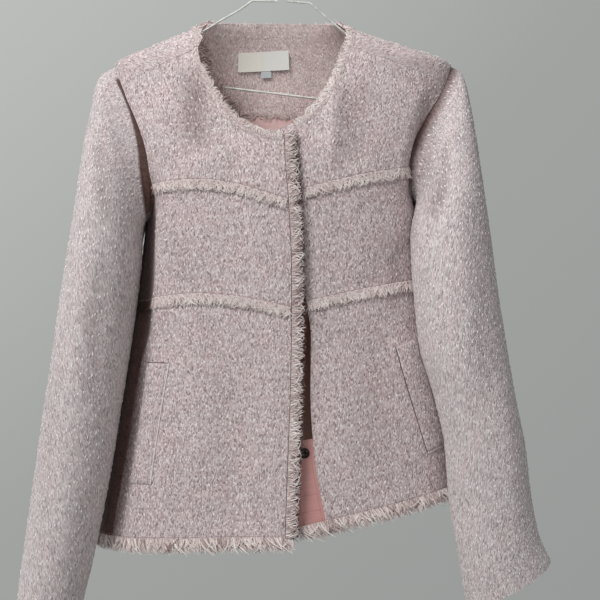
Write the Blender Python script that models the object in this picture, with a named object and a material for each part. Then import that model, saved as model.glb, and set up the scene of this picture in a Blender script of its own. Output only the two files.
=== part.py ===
"""A cropped tweed jacket with frayed trims, hanging on a tilted wire hanger.

Units are metres, +Z is up, and the front faces -Y. Sides are the wearer's: right is -X. The origin
is the top of the hook's inner curve, where a rail or a nail carries the hanger.

The body is a family of ring sections. A place on it is (turn, level): turn runs from 0 at the
centre front to -1 and +1 at the side seams and on to -2 and +2 at the centre back, and level counts
the rows of BODY_ROWS from the fringe's tip upwards. Each panel is a patch of (turn, level), given
its wall along the shared normals, so that neighbouring edges stay parallel.
"""

import math
from collections import namedtuple

import bpy
import numpy as np

MM = 0.001
TWEED = 2.0 * MM
SATIN = 1.0 * MM
TRIM = 2.4 * MM
SEAM = 0.3 * MM
CLEAR = 0.5 * MM
LAID = TRIM + CLEAR  # how far a trim's outer face stands off the panel it lies on

BODY_FIELDS = (
    "right left side front back lift power z_right z_right_edge z_left_edge z_left bump"
    " edge_right edge_left"
)
BodyRow = namedtuple("BodyRow", "name " + BODY_FIELDS)
# Millimetres: half-widths to the right and left, depths at the side seams, front and back, the lift
# of the front that laps over, the section's power (1 is an ellipse), the heights of the side seams
# and of both front edges, the rise midway, and where the two front edges lie.
BODY_ROWS = (
    BodyRow("fringe", 207, 192, 15, -74, 80, 9, 0.72, -668, -659, -654, -612, 0, 8.5, 43),
    BodyRow("hem", 206, 190, 15, -72, 78, 9, 0.72, -655, -645, -640, -598, 0, 8.5, 42),
    BodyRow("hip", 194, 185, 15, -68, 72, 8, 0.72, -583, -575, -568, -532, 0, 11, 31),
    BodyRow("low_waist", 181, 172, 15, -64, 66, 8, 0.72, -508, -503, -498, -466, 2, 13.5, 27),
    BodyRow("pocket", 174, 157, 15, -62, 64, 8, 0.72, -455, -452, -447, -417, 6, 14.3, 27),
    BodyRow("waist", 166, 150, 15, -62, 64, 7, 0.72, -401, -404, -405, -375, 11, 14.8, 22),
    BodyRow("ribs", 159, 146, 14, -63, 66, 7, 0.72, -343, -350, -348, -318, 11, 14.5, 13),
    BodyRow("underarm", 155, 144, 12, -64, 68, 6, 0.72, -302, -318, -313, -281, 12, 13.3, 6),
    BodyRow("chest", 158, 147, 10, -64, 68, 6, 0.74, -276, -292, -287, -253, 12, 11.8, 0),
    BodyRow("yoke", 165, 156, 7, -61, 66, 5, 0.78, -238, -250, -246, -226, 7, 8.5, -5),
    BodyRow("neck_base", 174, 168, 4, -56, 62, 4, 0.84, -206, -221, -217, -200, 3, 7.5, -5),
    BodyRow("collarbone", 182, 178, 2, -50, 57, 2, 0.92, -178, -184, -182, -175, 0, 7.5, -5),
    BodyRow("shoulder", 188, 184, 0, -40, 49, 0, 1.0, -142, -142, -141, -141, 0, 7.5, -5),
    BodyRow("slope", 143, 123, 0, -31, 40, 0, 1.0, -117, -117, -116, -116, 0, 7.5, -5),
    BodyRow("neck_point", 94, 66, 0, -22, 30, 0, 1.0, -96, -96, -96, -96, 0, 7.5, -5),
    BodyRow("nape", 79, 51, 4, -18, 26, 0, 1.0, -86, -86, -85, -85, 0, 7.5, -5),
)
LEVEL = {row.name: float(index) for index, row in enumerate(BODY_ROWS)}
TABLE = {
    field: np.array([getattr(row, field) for row in BODY_ROWS], float)
    * (1 if field == "power" else MM)
    for field in BODY_FIELDS.split()
}
LIFT_WIDTH = 70 * MM
BUMP_SHARE = {"right": 1.0, "left": 0.15}  # how much of the rows' bump each front keeps

HEM_LEVEL = LEVEL["hem"]
TRIM_DEPTH = 0.36  # levels that a horizontal trim covers at the waist
CHEST_TRIM_DEPTH = 0.64  # and at the chest, where the levels lie closer
ARMHOLE_FOOT = LEVEL["underarm"] - 0.25
LOWER_LEVELS = (1, 2, 3, 4, 5 - TRIM_DEPTH, 5, 6, ARMHOLE_FOOT)
CHEST_LEVELS = (7, 8 - CHEST_TRIM_DEPTH, 8, 8.6)
FRONT_COLUMNS = 9
YOKE_ROWS = 7
BACK_ARMHOLE_ROWS = 7
NAPE_COLUMNS = 10
OVER_SHOULDER_ROWS = 3
NECK_TRIM_STEPS = 28
CURVE_STEPS = 40
LOCATE_STEPS = 600
LOCATE_ROUNDS = 12
FULL_ROUND = np.array([4.0, 0.0])  # turns -2 and +2 are one line, and the back counts on past it

ARMHOLE_BOW_FRONT = {-1: 0.35, 1: 0.325}
ARMHOLE_BOW_BACK = 0.33
ARMHOLE_LEAN = 0.76
SHOULDER_SEAM_AT = 0.78  # share of the front armhole, from the underarm, below the shoulder seam

NECK_CENTRE_X = -14 * MM
NECK_HALF_WIDTH = 80 * MM
NECK_FRONT_Z = {-1: -222 * MM, 1: -219.5 * MM}
NECK_POINT_Z = -96 * MM
NAPE_Z = -86.5 * MM
NECK_ROUNDNESS = 1.11
NECK_SEAM_AT = 0.17  # share of the front neckline behind the shoulder seam

HEM_GAP = 0.03  # levels between the hem and the top of its fringe
NECK_TRIM_WIDTH = 9 * MM
PLACKET_WIDTH = 7.5 * MM
FRAY = 4 * MM
PLACKET_GAP_SHARE = 0.04
TRIM_END = 6 * MM  # a trim stops this far short of the armhole
TRIM_JOIN = 1.8 * MM  # and this far short of the next trim
LAP_REACH = 18 * MM  # the left neck trim starts this far from its corner, clear of the lap
NECK_TRIM_RISE = 0.8 * MM  # extra room under the neck's trim, where the back bends most
SLEEVE_CLEAR = 5 * MM

SleeveRow = namedtuple("SleeveRow", "outer_x outer_z inner_x inner_z centre_y half_depth hold")
# Millimetres, from the armhole to the cuff. Each ring's diameter runs from the outer line to the
# inner one; hold is how much of the armhole's own bow the ring keeps.
RIGHT_SLEEVE_ROWS = (
    SleeveRow(-188, -142, -155, -312, 0, 46, 1.0),
    SleeveRow(-201, -150, -157, -317, -3, 49, 0.80),
    SleeveRow(-208, -163, -156, -322, -5, 52, 0.55),
    SleeveRow(-212, -190, -155, -328, -9, 55, 0.28),
    SleeveRow(-218, -227, -154, -337, -14, 57, 0.10),
    SleeveRow(-224, -285, -154, -352, -20, 58, 0),
    SleeveRow(-231, -334, -156, -374, -25, 58, 0),
    SleeveRow(-239, -388, -160, -408, -29, 56, 0),
    SleeveRow(-246, -442, -166, -452, -33, 53, 0),
    SleeveRow(-255, -506, -175, -512, -38, 50, 0),
    SleeveRow(-263, -570, -184, -573, -42, 47, 0),
    SleeveRow(-271, -633, -195, -634, -46, 44, 0),
    SleeveRow(-278, -686, -206, -687, -48, 42, 0),
    SleeveRow(-283, -733, -219, -739, -50, 41, 0),
)
LEFT_SLEEVE_ROWS = (
    SleeveRow(184, -141, 144, -290, 0, 46, 1.0),
    SleeveRow(194, -148, 145, -295, -4, 49, 0.80),
    SleeveRow(199, -163, 143, -300, -9, 52, 0.55),
    SleeveRow(203, -190, 140, -308, -17, 55, 0.28),
    SleeveRow(207, -228, 137, -318, -28, 56, 0.10),
    SleeveRow(211, -275, 135, -334, -41, 56, 0),
    SleeveRow(217, -330, 135, -362, -52, 55, 0),
    SleeveRow(223, -385, 137, -398, -59, 54, 0),
    SleeveRow(231, -440, 142, -446, -62, 53, 0),
    SleeveRow(241, -500, 158, -503, -64, 50, 0),
    SleeveRow(251, -552, 168, -551, -66, 47, 0),
    SleeveRow(257, -603, 172, -604, -67, 45, 0),
    SleeveRow(265, -643, 180, -656, -68, 43, 0),
    SleeveRow(277, -669, 190, -716, -68, 41, 0),
)

WeltSpot = namedtuple("WeltSpot", "top_x top_z foot_x foot_z width slant")
RIGHT_WELT = WeltSpot(-137 * MM, -466 * MM, -156 * MM, -594 * MM, 27 * MM, 0.0)
LEFT_WELT = WeltSpot(128 * MM, -444.5 * MM, 162.5 * MM, -557.5 * MM, 24 * MM, 0.36)

LABEL_CENTRE = (-26 * MM, -124.5 * MM)
LABEL_SIZE = (60 * MM, 21 * MM)
LABEL_TILT = math.radians(3.2)
LABEL_GAP = 1.75 * MM  # between the facing and the label, which stands off its curve
TAB_CENTRE = (-22.5 * MM, -139 * MM)
TAB_SIZE = (12 * MM, 7.5 * MM)
TAB_GAP = 1.5 * MM
LABEL_THICK = 0.6 * MM
WELT_GAP = 1.25 * MM
WELT_STEPS = (6, 2)

FACING_ROWS = 3  # rows of the back's upper block that the neck facing covers
UNDERLAP_REACH = 30 * MM
UNDERLAP_LEVELS = (1, 1.4, 1.8, 2.25)
STUD_SPOT = (21 * MM, -559 * MM)
# The stud's profile from its foot: radii and heights above the underlap's inner side.
STUD_RINGS = ((5.5, 0.3), (5.5, 0.9), (3.4, 1.3), (2.5, 1.9), (1.4, 1.5))
STUD_SPOKES = 16

WIRE = 1.2 * MM
HOOK_RADIUS = 18 * MM
WIRE_SIDES = 8


def smooth_column(values, at):
    """The table column at fractional rows: cubic, with flat tangents at peaks, so no overshoot."""
    steps = np.diff(values)
    before, after = steps[:-1], steps[1:]
    total = np.where(np.abs(before + after) > 1e-12, before + after, 1.0)
    inner = np.where(before * after > 0, 2 * before * after / total, 0.0)
    slopes = np.concatenate([steps[:1], inner, steps[-1:]])
    at = np.asarray(at, float)
    row = np.clip(np.floor(at).astype(int), 0, len(values) - 2)
    t = at - row
    low, high, slope_low, slope_high = values[row], values[row + 1], slopes[row], slopes[row + 1]
    return (
        low * (1 + 2 * t) * (1 - t) ** 2
        + slope_low * t * (1 - t) ** 2
        + high * t * t * (3 - 2 * t)
        + slope_high * t * t * (t - 1)
    )


def body(field, level):
    return smooth_column(TABLE[field], level)


def smoothstep(value):
    value = np.clip(value, 0, 1)
    return value * value * (3 - 2 * value)


def section_angle(turn, power):
    """Radians round the ring for a turn, spaced so that the cloth is evenly divided."""
    quarter = np.floor(turn)
    share = turn - quarter
    rise, fall = share ** (1 / power), (1 - share) ** (1 / power)
    return (quarter + rise / (rise + fall)) * math.pi / 2


def turn_at(x, level):
    """The turn, on the front, whose point lies at x."""
    power = body("power", level)
    reach = np.where(x < 0, body("right", level), body("left", level))
    angle = np.arcsin(np.clip(np.abs(x) / reach, 0, 1) ** (1 / power))
    share = np.clip(angle / (math.pi / 2), 0, 1 - 1e-9)
    odds = (share / (1 - share)) ** power
    return np.sign(x) * odds / (1 + odds)


def height(x, turn, level, side):
    """z of the body's point at x: the side picks which front edge's height it follows."""
    right, left = body("right", level), body("left", level)
    z_right, z_left = body("z_right", level), body("z_left", level)
    across = (x + right) / (right + left)
    back = z_right + (z_left - z_right) * across
    if side == "back":
        middle = 0.5 * (body("z_right_edge", level) + body("z_left_edge", level))
        drop = middle - 0.5 * (z_right + z_left)
        front = back + drop * np.clip(1 - np.abs(turn), 0, 1)
    else:
        edge = body(f"z_{side}_edge", level)
        end = z_right if side == "right" else z_left
        share = -x / right if side == "right" else x / left
        bump = body("bump", level) * BUMP_SHARE[side]
        front = edge + (end - edge) * share + bump * np.sin(math.pi * share)
    return np.where(np.abs(turn) <= 1, front, back)


def point(turn, level, side):
    """The outer surface at (turn, level), as an array of x, y, z."""
    turn, level = np.broadcast_arrays(np.asarray(turn, float), np.asarray(level, float))
    power = body("power", level)
    angle = section_angle(turn, power)
    right, left = body("right", level), body("left", level)
    sine, cosine = np.sin(angle), np.cos(angle)
    reach = (right + left) / 2 + (left - right) / 2 * sine
    x = reach * np.sign(sine) * np.abs(sine) ** power
    depth = np.where(cosine >= 0, body("front", level), body("back", level))
    y = body("side", level) + (depth - body("side", level)) * np.abs(cosine) ** power
    z = height(x, turn, level, side)
    if side == "right":
        on_front = np.abs(turn) < 1
        y = y - body("lift", level) * smoothstep(1 + x / LIFT_WIDTH) * on_front
    return np.stack([x, y, z], axis=-1)


def slopes(turn, level, side):
    """The surface's change for a unit of turn and of level."""
    step = 1e-3
    by_turn = (point(turn + step, level, side) - point(turn - step, level, side)) / (2 * step)
    by_level = (point(turn, level + step, side) - point(turn, level - step, side)) / (2 * step)
    return by_turn, by_level


def normals(turn, level, side):
    by_turn, by_level = slopes(turn, level, side)
    across = np.cross(by_turn, by_level)
    return across / np.linalg.norm(across, axis=-1, keepdims=True)


def locate(x, z, side, behind=False):
    """(turn, level) of the surface point seen at x and z, on the front or on the back."""
    x, z = np.broadcast_arrays(np.asarray(x, float), np.asarray(z, float))
    levels = np.linspace(0, len(BODY_ROWS) - 1, LOCATE_STEPS)
    heights = body("z_right", levels)
    level = np.interp(z, heights, levels)
    for _ in range(LOCATE_ROUNDS):
        turn = turn_at(x, level)
        if behind:
            turn = np.where(turn < 0, -2 - turn, 2 - turn)
        error = z - point(turn, level, side)[..., 2]
        level = np.interp(np.interp(level, levels, heights) + error, heights, levels)
    return np.stack([turn, level], axis=-1)


def inset(edge, width, side):
    """The (turn, level) line that lies a width to the left of an edge line, across the cloth."""
    by_turn, by_level = slopes(edge[:, 0], edge[:, 1], side)
    track = np.gradient(point(edge[:, 0], edge[:, 1], side), axis=0)
    track /= np.linalg.norm(track, axis=1, keepdims=True)
    across = np.cross(normals(edge[:, 0], edge[:, 1], side), track) * width
    basis = np.stack([by_turn, by_level], axis=-1)
    moves = np.einsum("nij,nj->ni", np.linalg.pinv(basis), across)
    return edge + moves


def evenly(line, steps, side, skip_start=0, skip_end=0):
    """The (turn, level) line divided into equal lengths of cloth, short by a length at its ends."""
    track = point(line[:, 0], line[:, 1], side)
    lengths = np.concatenate([[0], np.cumsum(np.linalg.norm(np.diff(track, axis=0), axis=1))])
    wanted = np.linspace(skip_start, lengths[-1] - skip_end, steps + 1)
    return np.stack([np.interp(wanted, lengths, line[:, axis]) for axis in (0, 1)], axis=1)


def ruled(starts, ends, steps):
    """Rows of (turn, level), each running straight from its start to its end."""
    share = np.linspace(0, 1, steps + 1)[None, :, None]
    return starts[:, None, :] * (1 - share) + ends[:, None, :] * share


def armhole(hand, share, behind=False):
    """(turn, level) up the armhole: share 0 is the underarm and 1 the shoulder's ridge."""
    share = np.asarray(share, float)
    level = ARMHOLE_FOOT + (LEVEL["shoulder"] - ARMHOLE_FOOT) * (1 - np.cos(math.pi * share)) / 2
    bow = np.sin(math.pi * share**ARMHOLE_LEAN)
    turn = 1 + ARMHOLE_BOW_BACK * bow if behind else 1 - ARMHOLE_BOW_FRONT[hand] * bow
    return np.stack([hand * turn, level], axis=-1)


def armhole_share(level):
    rise = (np.asarray(level, float) - ARMHOLE_FOOT) / (LEVEL["shoulder"] - ARMHOLE_FOOT)
    return np.arccos(1 - 2 * np.clip(rise, 0, 1)) / math.pi


def front_armhole_shares():
    """Stations from the underarm to the shoulder seam, shared by the front and the sleeve."""
    chest = armhole_share((ARMHOLE_FOOT,) + CHEST_LEVELS)
    yoke = np.linspace(chest[-1], SHOULDER_SEAM_AT, YOKE_ROWS + 1)[1:]
    return np.concatenate([chest, yoke])


def over_shoulder_shares():
    """Stations from the shoulder's ridge forward to the shoulder seam."""
    return np.linspace(1, SHOULDER_SEAM_AT, OVER_SHOULDER_ROWS + 1)


def back_armhole_shares():
    return np.linspace(0, 1, BACK_ARMHOLE_ROWS + 1)


def neckline_front(hand, share, side):
    """(turn, level) of the front neckline: share 0 is the neck point and 1 the centre front."""
    angle = np.asarray(share, float) * math.pi / 2
    x = NECK_CENTRE_X + hand * NECK_HALF_WIDTH * np.cos(angle) ** NECK_ROUNDNESS
    z = NECK_POINT_Z + (NECK_FRONT_Z[hand] - NECK_POINT_Z) * np.sin(angle) ** NECK_ROUNDNESS
    return locate(x, z, side)


def neckline_back(angle):
    """(turn, level) of the back neckline: angle runs from pi at the right neck point to 0."""
    x = NECK_CENTRE_X + NECK_HALF_WIDTH * np.cos(angle)
    z = NECK_POINT_Z + (NAPE_Z - NECK_POINT_Z) * np.sin(angle) ** 0.7
    return locate(x, z, "back", behind=True)


def shoulder_seam(hand, side):
    """(turn, level) from the armhole to the neckline, straight as seen from the front.

    The stations are even, apart from the last, which is a neck trim's width from the one before.
    """
    start = armhole(hand, SHOULDER_SEAM_AT)
    end = neckline_front(hand, NECK_SEAM_AT, "back")
    first, last = point(*start, "back"), point(*end, "back")
    share = np.linspace(0, 1, CURVE_STEPS)[:, None]
    line = first * (1 - share) + last * share
    seam = locate(line[:, 0], line[:, 2], side)
    if side == "back":
        seam[0] = start
    return np.concatenate([evenly(seam, FRONT_COLUMNS, side, 0, NECK_TRIM_WIDTH), seam[-1:]])


def neckline_share_at_edge(hand, side):
    """The share of the front neckline where it meets the front edge."""
    shares = np.linspace(0.6, 1.25, LOCATE_STEPS)
    angle = np.minimum(shares, 1) * math.pi / 2
    x = NECK_CENTRE_X + hand * NECK_HALF_WIDTH * np.cos(angle) ** NECK_ROUNDNESS
    x = np.where(shares > 1, NECK_CENTRE_X - hand * (shares - 1) * NECK_HALF_WIDTH, x)
    edge = float(body(f"edge_{side}", LEVEL["neck_base"]))
    return float(np.interp(0, hand * (edge - x), shares))


def front_boundary(hand, side):
    """(turn, level) up the front edge and round the neckline, a station for each grid row."""
    lower = np.array(LOWER_LEVELS + CHEST_LEVELS, float)
    corner_share = min(neckline_share_at_edge(hand, side), 1.0)
    neck_shares = np.linspace(corner_share, NECK_SEAM_AT, YOKE_ROWS - 1)
    neck = neckline_front(hand, neck_shares, side)
    corner_level = float(neckline_front(hand, 1.0, side)[1])
    corner_x = float(body(f"edge_{side}", corner_level))
    neck[0] = (float(turn_at(corner_x, corner_level)), corner_level)
    edge_levels = np.append(lower, (lower[-1] + corner_level) / 2)
    edge = np.stack([turn_at(body(f"edge_{side}", edge_levels), edge_levels), edge_levels], axis=1)
    return np.concatenate([edge, neck])


def side_boundary(hand):
    """(turn, level) up the side seam and the front armhole, a station for each grid row."""
    seam = np.array(LOWER_LEVELS[:-1], float)
    seam_line = np.stack([np.full(len(seam), float(hand)), seam], axis=1)
    return np.concatenate([seam_line, armhole(hand, front_armhole_shares())])


def front_grid(hand, side):
    """The front's (turn, level) grid: the last column strip is as wide as the edge's trim."""
    edge = front_boundary(hand, side)
    lower_rows = len(LOWER_LEVELS + CHEST_LEVELS)
    widths = np.where(np.arange(len(edge)) > lower_rows, NECK_TRIM_WIDTH, PLACKET_WIDTH)
    inner = inset(edge, (-hand * widths)[:, None], side)
    outer = inset(side_boundary(hand), hand * SEAM / 2, side)
    grid = ruled(outer, inner, FRONT_COLUMNS)
    seam = inset(shoulder_seam(hand, side), hand * SEAM / 2, side)
    yoke = np.clip(np.arange(len(edge)) - lower_rows + 1, 0, None) / YOKE_ROWS
    grid += yoke[:, None, None] * (seam[:-1] - grid[-1])[None]
    edge[-1] = seam[-1]
    return np.concatenate([grid, edge[:, None]], axis=1)


def ridge(hand):
    """(turn, level) stations along the shoulder's ridge, from the armhole to the neck point."""
    levels = np.linspace(LEVEL["shoulder"], float(neckline_front(hand, 0, "back")[1]), CURVE_STEPS)
    line = np.stack([np.full(CURVE_STEPS, float(hand)), levels], axis=1)
    line[-1] = neckline_front(hand, 0, "back")
    return np.concatenate([evenly(line, FRONT_COLUMNS, "back", 0, NECK_TRIM_WIDTH), line[-1:]])


def over_shoulder(hand):
    """(turn, level) rows from the ridge forward to the shoulder seam, from armhole to neckline."""
    seam = inset(shoulder_seam(hand, "back"), -hand * SEAM / 2, "back")
    rows = ruled(ridge(hand), seam, OVER_SHOULDER_ROWS).swapaxes(0, 1)
    hole = inset(armhole(hand, over_shoulder_shares()), -hand * SEAM / 2, "back")
    seam_shift = seam[0] - armhole(hand, SHOULDER_SEAM_AT)
    rows[:, 0] = hole
    rows[1:, 0] += seam_shift
    neck_shares = np.linspace(0, NECK_SEAM_AT, OVER_SHOULDER_ROWS + 1)[:-1]
    rows[:-1, -1] = neckline_front(hand, neck_shares, "back")
    return rows


def back_grid():
    """The back's (turn, level) grid from the left side seam round to the right, and its cells.

    The rows climb to the ridge and to the back neckline. The last rows run on over the shoulders
    to the shoulder seams, and between the neck points they hold no cloth.
    """
    lower = np.array(LOWER_LEVELS, float)
    sides = []
    for hand in (-1, 1):
        seam = np.stack([np.full(len(lower) - 1, float(hand)), lower[:-1]], axis=1)
        hole = armhole(hand, back_armhole_shares(), behind=True)
        sides.append(inset(np.concatenate([seam, hole]), -hand * SEAM / 2, "back"))
    right, left = sides
    right_over, left_over = over_shoulder(-1)[:, ::-1] + FULL_ROUND, over_shoulder(1)
    neckline = back_neckline()
    top = np.concatenate([left_over[0], neckline[1:-1], right_over[0]])
    under = inset(top, -NECK_TRIM_WIDTH, "back")
    under[0], under[-1] = left[-2], right[-2] + FULL_ROUND
    grid = ruled(left, right + FULL_ROUND, len(top) - 1)[:-1]
    first_yoke = len(lower) - 1
    yoke = np.clip(np.arange(len(grid)) - first_yoke, 0, None) / (len(grid) - 1 - first_yoke)
    grid = grid + (yoke**1.5)[:, None, None] * (under - grid[-1])[None]
    fill = np.broadcast_to(neckline[1:-1], (OVER_SHOULDER_ROWS, len(neckline) - 2, 2))
    over = np.concatenate([left_over[1:], fill, right_over[1:]], axis=1)
    cells = np.ones((len(grid) + OVER_SHOULDER_ROWS, len(top) - 1), bool)
    cells[len(grid) :, FRONT_COLUMNS + 1 : FRONT_COLUMNS + 1 + NAPE_COLUMNS] = False
    return np.concatenate([grid, top[None], over]), cells


def back_neckline():
    """(turn, level) from the left neck point over the nape to the right one, turns counted on."""
    behind = neckline_back(np.linspace(0, math.pi, CURVE_STEPS)[1:-1])
    behind[behind[:, 0] < 0, 0] += FULL_ROUND[0]
    left, right = neckline_front(1, 0, "back"), neckline_front(-1, 0, "back") + FULL_ROUND
    return evenly(np.concatenate([left[None], behind, right[None]]), NAPE_COLUMNS, "back")


def whole_back_neckline():
    """(turn, level) from the left shoulder seam round the neck to the right one."""
    shares = np.linspace(NECK_SEAM_AT, 0, CURVE_STEPS // 4)[:-1]
    left = neckline_front(1, shares, "back")
    right = neckline_front(-1, shares[::-1], "back") + FULL_ROUND
    return np.concatenate([left, back_neckline(), right])


def solid(outer, inner, around=False, cells=None):
    """Vertices and triangles of a wall between two grids of points; around makes it a tube.

    Both skins split their cells along the same diagonals, so that the wall keeps its thickness
    and what lies on a panel stays parallel to it. The rims stand on the skin's open edges.
    """
    rows, columns = outer.shape[:2]
    count = rows * columns
    index = np.arange(count).reshape(rows, columns)
    if around:
        index = np.concatenate([index, index[:, :1]], axis=1)
    lower, higher = index[:-1], index[1:]
    below = np.stack([lower[:, :-1], lower[:, 1:], higher[:, 1:]], axis=-1)
    above = np.stack([lower[:, :-1], higher[:, 1:], higher[:, :-1]], axis=-1)
    kept = np.ones(below.shape[:2], bool) if cells is None else cells
    skin = np.concatenate([below[kept], above[kept]])
    edges = np.concatenate([skin[:, [0, 1]], skin[:, [1, 2]], skin[:, [2, 0]]])
    twins = np.isin(edges[:, 0] * count + edges[:, 1], edges[:, 1] * count + edges[:, 0])
    start, end = edges[~twins].T
    rims = [np.stack([end, start, start + count], 1), np.stack([end, start + count, end + count], 1)]
    faces = np.concatenate([skin, skin[:, ::-1] + count] + rims)
    used, faces = np.unique(faces, return_inverse=True)
    points = np.concatenate([outer.reshape(-1, 3), inner.reshape(-1, 3)])
    return points[used], faces.reshape(-1, 3)


MATERIALS = {
    "tweed": ((0.60, 0.46, 0.47), 0.9, 0.0),
    "satin": ((0.68, 0.38, 0.38), 0.45, 0.0),
    "trim": ((0.70, 0.58, 0.56), 0.95, 0.0),
    "label": ((0.80, 0.82, 0.76), 0.6, 0.0),
    "wire": ((0.75, 0.77, 0.77), 0.35, 0.2),
    "stud": ((0.06, 0.06, 0.06), 0.4, 0.9),
}


def material(name):
    found = bpy.data.materials.get(name)
    if found:
        return found
    colour, roughness, metallic = MATERIALS[name]
    made = bpy.data.materials.new(name)
    made.use_nodes = True
    shader = made.node_tree.nodes["Principled BSDF"]
    shader.inputs["Base Color"].default_value = (*colour, 1)
    shader.inputs["Roughness"].default_value = roughness
    shader.inputs["Metallic"].default_value = metallic
    return made


def add_piece(name, points, faces, finish):
    mesh = bpy.data.meshes.new(name)
    mesh.from_pydata(points.tolist(), [], faces.tolist())
    if signed_volume(points, faces) < 0:
        mesh.flip_normals()
    mesh.materials.append(material(finish))
    mesh.shade_smooth()
    mesh.set_sharp_from_angle(angle=math.radians(40))
    piece = bpy.data.objects.new(name, mesh)
    bpy.context.scene.collection.objects.link(piece)
    return piece


def signed_volume(points, faces):
    first, second, third = (points[faces[:, corner]] for corner in range(3))
    return float(np.einsum("ij,ij->i", first, np.cross(second, third)).sum())


def cloth_piece(name, grid, side, out, thick, finish, cells=None):
    """A wall on the body: its outer face lies out beyond the form, and thick is its wall."""
    turn, level = grid[..., 0], grid[..., 1]
    wrapped = np.where(turn > 2, turn - 4, turn)
    centre, across = point(wrapped, level, side), normals(wrapped, level, side)
    outer, inner = centre + across * out, centre + across * (out - thick)
    points, faces = solid(outer, inner, cells=cells)
    return add_piece(name, points, faces, finish)


def trim_band(strip, fray, side):
    """A strip of a panel's grid that ends at its edge, with the fray's tips beyond the edge."""
    return np.concatenate([strip, inset(strip[:, -1], fray, side)[:, None]], axis=1)


def shortened(strip, start, end, side):
    """The strip with its first and last stations moved in by a length of cloth."""
    strip = strip.copy()
    for station, following, length in ((0, 1, start), (-1, -2, end)):
        ends, nexts = strip[station], strip[following]
        span = np.linalg.norm(point(*ends[-1], side) - point(*nexts[-1], side))
        strip[station] = ends + (nexts - ends) * length / span
    return strip


def fringe_grid(hem_turns):
    """(turn, level) rows from the fringe's tips to just below the hem."""
    levels = (LEVEL["fringe"], HEM_LEVEL - HEM_GAP)
    return np.stack([np.stack([hem_turns, np.full(len(hem_turns), level)], 1) for level in levels])


def end_at_placket(band):
    """The band without its last column, at the front edge, and short of that by part of a cell."""
    band = band[:, :-1].copy()
    band[:, -1] += (band[:, -2] - band[:, -1]) * PLACKET_GAP_SHARE
    return band


def make_fronts():
    waist = LOWER_LEVELS.index(5 - TRIM_DEPTH)
    chest = len(LOWER_LEVELS) + CHEST_LEVELS.index(8 - CHEST_TRIM_DEPTH)
    corner = len(LOWER_LEVELS + CHEST_LEVELS) + 1
    for hand, side in ((-1, "right"), (1, "left")):
        grid = front_grid(hand, side)
        cloth_piece(f"{side}_front", grid, side, 0, TWEED, "tweed")
        waist_band = grid[waist : waist + 2]
        chest_band = grid[chest : chest + 2].swapaxes(0, 1)
        chest_band = end_at_placket(shortened(chest_band, TRIM_END, 0, side).swapaxes(0, 1))
        hem_turns = grid[0, :, 0]
        if side == "right":
            waist_band = end_at_placket(waist_band)
            placket = trim_band(grid[: corner + 1, -2:], hand * FRAY, side)
            cloth_piece("placket_trim", placket, side, LAID, TRIM, "trim")
        else:
            free = turn_at(body("edge_left", HEM_LEVEL) - UNDERLAP_REACH, HEM_LEVEL)
            hem_turns = np.append(hem_turns, free)
        cloth_piece(f"waist_trim_{side}", waist_band, side, LAID, TRIM, "trim")
        cloth_piece(f"chest_trim_{side}", chest_band, side, LAID, TRIM, "trim")
        start = PLACKET_WIDTH + TRIM_JOIN if side == "right" else LAP_REACH
        neck = shortened(grid[corner:, -2:], start, TRIM_JOIN, side)
        band = trim_band(neck, hand * FRAY, side)
        cloth_piece(f"neck_trim_{side}", band, side, LAID, TRIM, "trim")
        cloth_piece(f"hem_fringe_{side}", fringe_grid(hem_turns), side, 0, TWEED, "trim")


def make_back():
    grid, cells = back_grid()
    cloth_piece("back_body", grid, "back", 0, TWEED, "tweed", cells)
    cloth_piece("hem_fringe_back", fringe_grid(grid[0, :, 0]), "back", 0, TWEED, "trim")
    line = evenly(whole_back_neckline(), NECK_TRIM_STEPS, "back", TRIM_JOIN, TRIM_JOIN)
    strip = np.stack([inset(line, -NECK_TRIM_WIDTH, "back"), line], axis=1)
    band = trim_band(strip, FRAY, "back")
    cloth_piece("neck_trim_back", band, "back", LAID + NECK_TRIM_RISE, TRIM, "trim")
    below_ridge = grid[:-OVER_SHOULDER_ROWS]
    neck_start = FRONT_COLUMNS + 1
    facing = below_ridge[-1 - FACING_ROWS :, neck_start + 1 : neck_start + NAPE_COLUMNS]
    inside = -TWEED - CLEAR
    cloth_piece("back_neck_facing", facing, "back", inside, TWEED, "tweed")
    lining = below_ridge[:-FACING_ROWS, 1:-1].copy()
    lining[-1] = inset(lining[-1], -SEAM, "back")
    cloth_piece("back_lining", lining, "back", inside, SATIN, "satin")


def flat_patch(centre, size, tilt, columns, rows):
    """Points of a tilted rectangle as seen from the front: x and z grids."""
    across = np.linspace(-size[0] / 2, size[0] / 2, columns + 1)[None, :]
    up = np.linspace(-size[1] / 2, size[1] / 2, rows + 1)[:, None]
    x = centre[0] + across * math.cos(tilt) - up * math.sin(tilt)
    z = centre[1] + across * math.sin(tilt) + up * math.cos(tilt)
    return x, z


def make_labels():
    inside = -2 * TWEED - 2 * CLEAR
    for name, centre, size, columns, gap in (
        ("neck_label", LABEL_CENTRE, LABEL_SIZE, 6, LABEL_GAP),
        ("size_tab", TAB_CENTRE, TAB_SIZE, 2, TAB_GAP),
    ):
        x, z = flat_patch(centre, size, LABEL_TILT, columns, 2)
        grid = locate(x, z, "back", behind=True)
        cloth_piece(name, grid, "back", inside - gap, LABEL_THICK, "label")


def make_underlap():
    """The pink strip sewn inside the left front's edge, which carries the stud."""
    levels = np.array(UNDERLAP_LEVELS, float)
    tucked = body("edge_left", levels) + PLACKET_WIDTH
    free = body("edge_left", levels) - UNDERLAP_REACH
    tucked_turn, free_turn = turn_at(tucked, levels), turn_at(free, levels)
    strip = ruled(np.stack([free_turn, levels], 1), np.stack([tucked_turn, levels], 1), 3)
    cloth_piece("front_underlap", strip, "left", -TWEED - CLEAR, SATIN, "satin")


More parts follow.
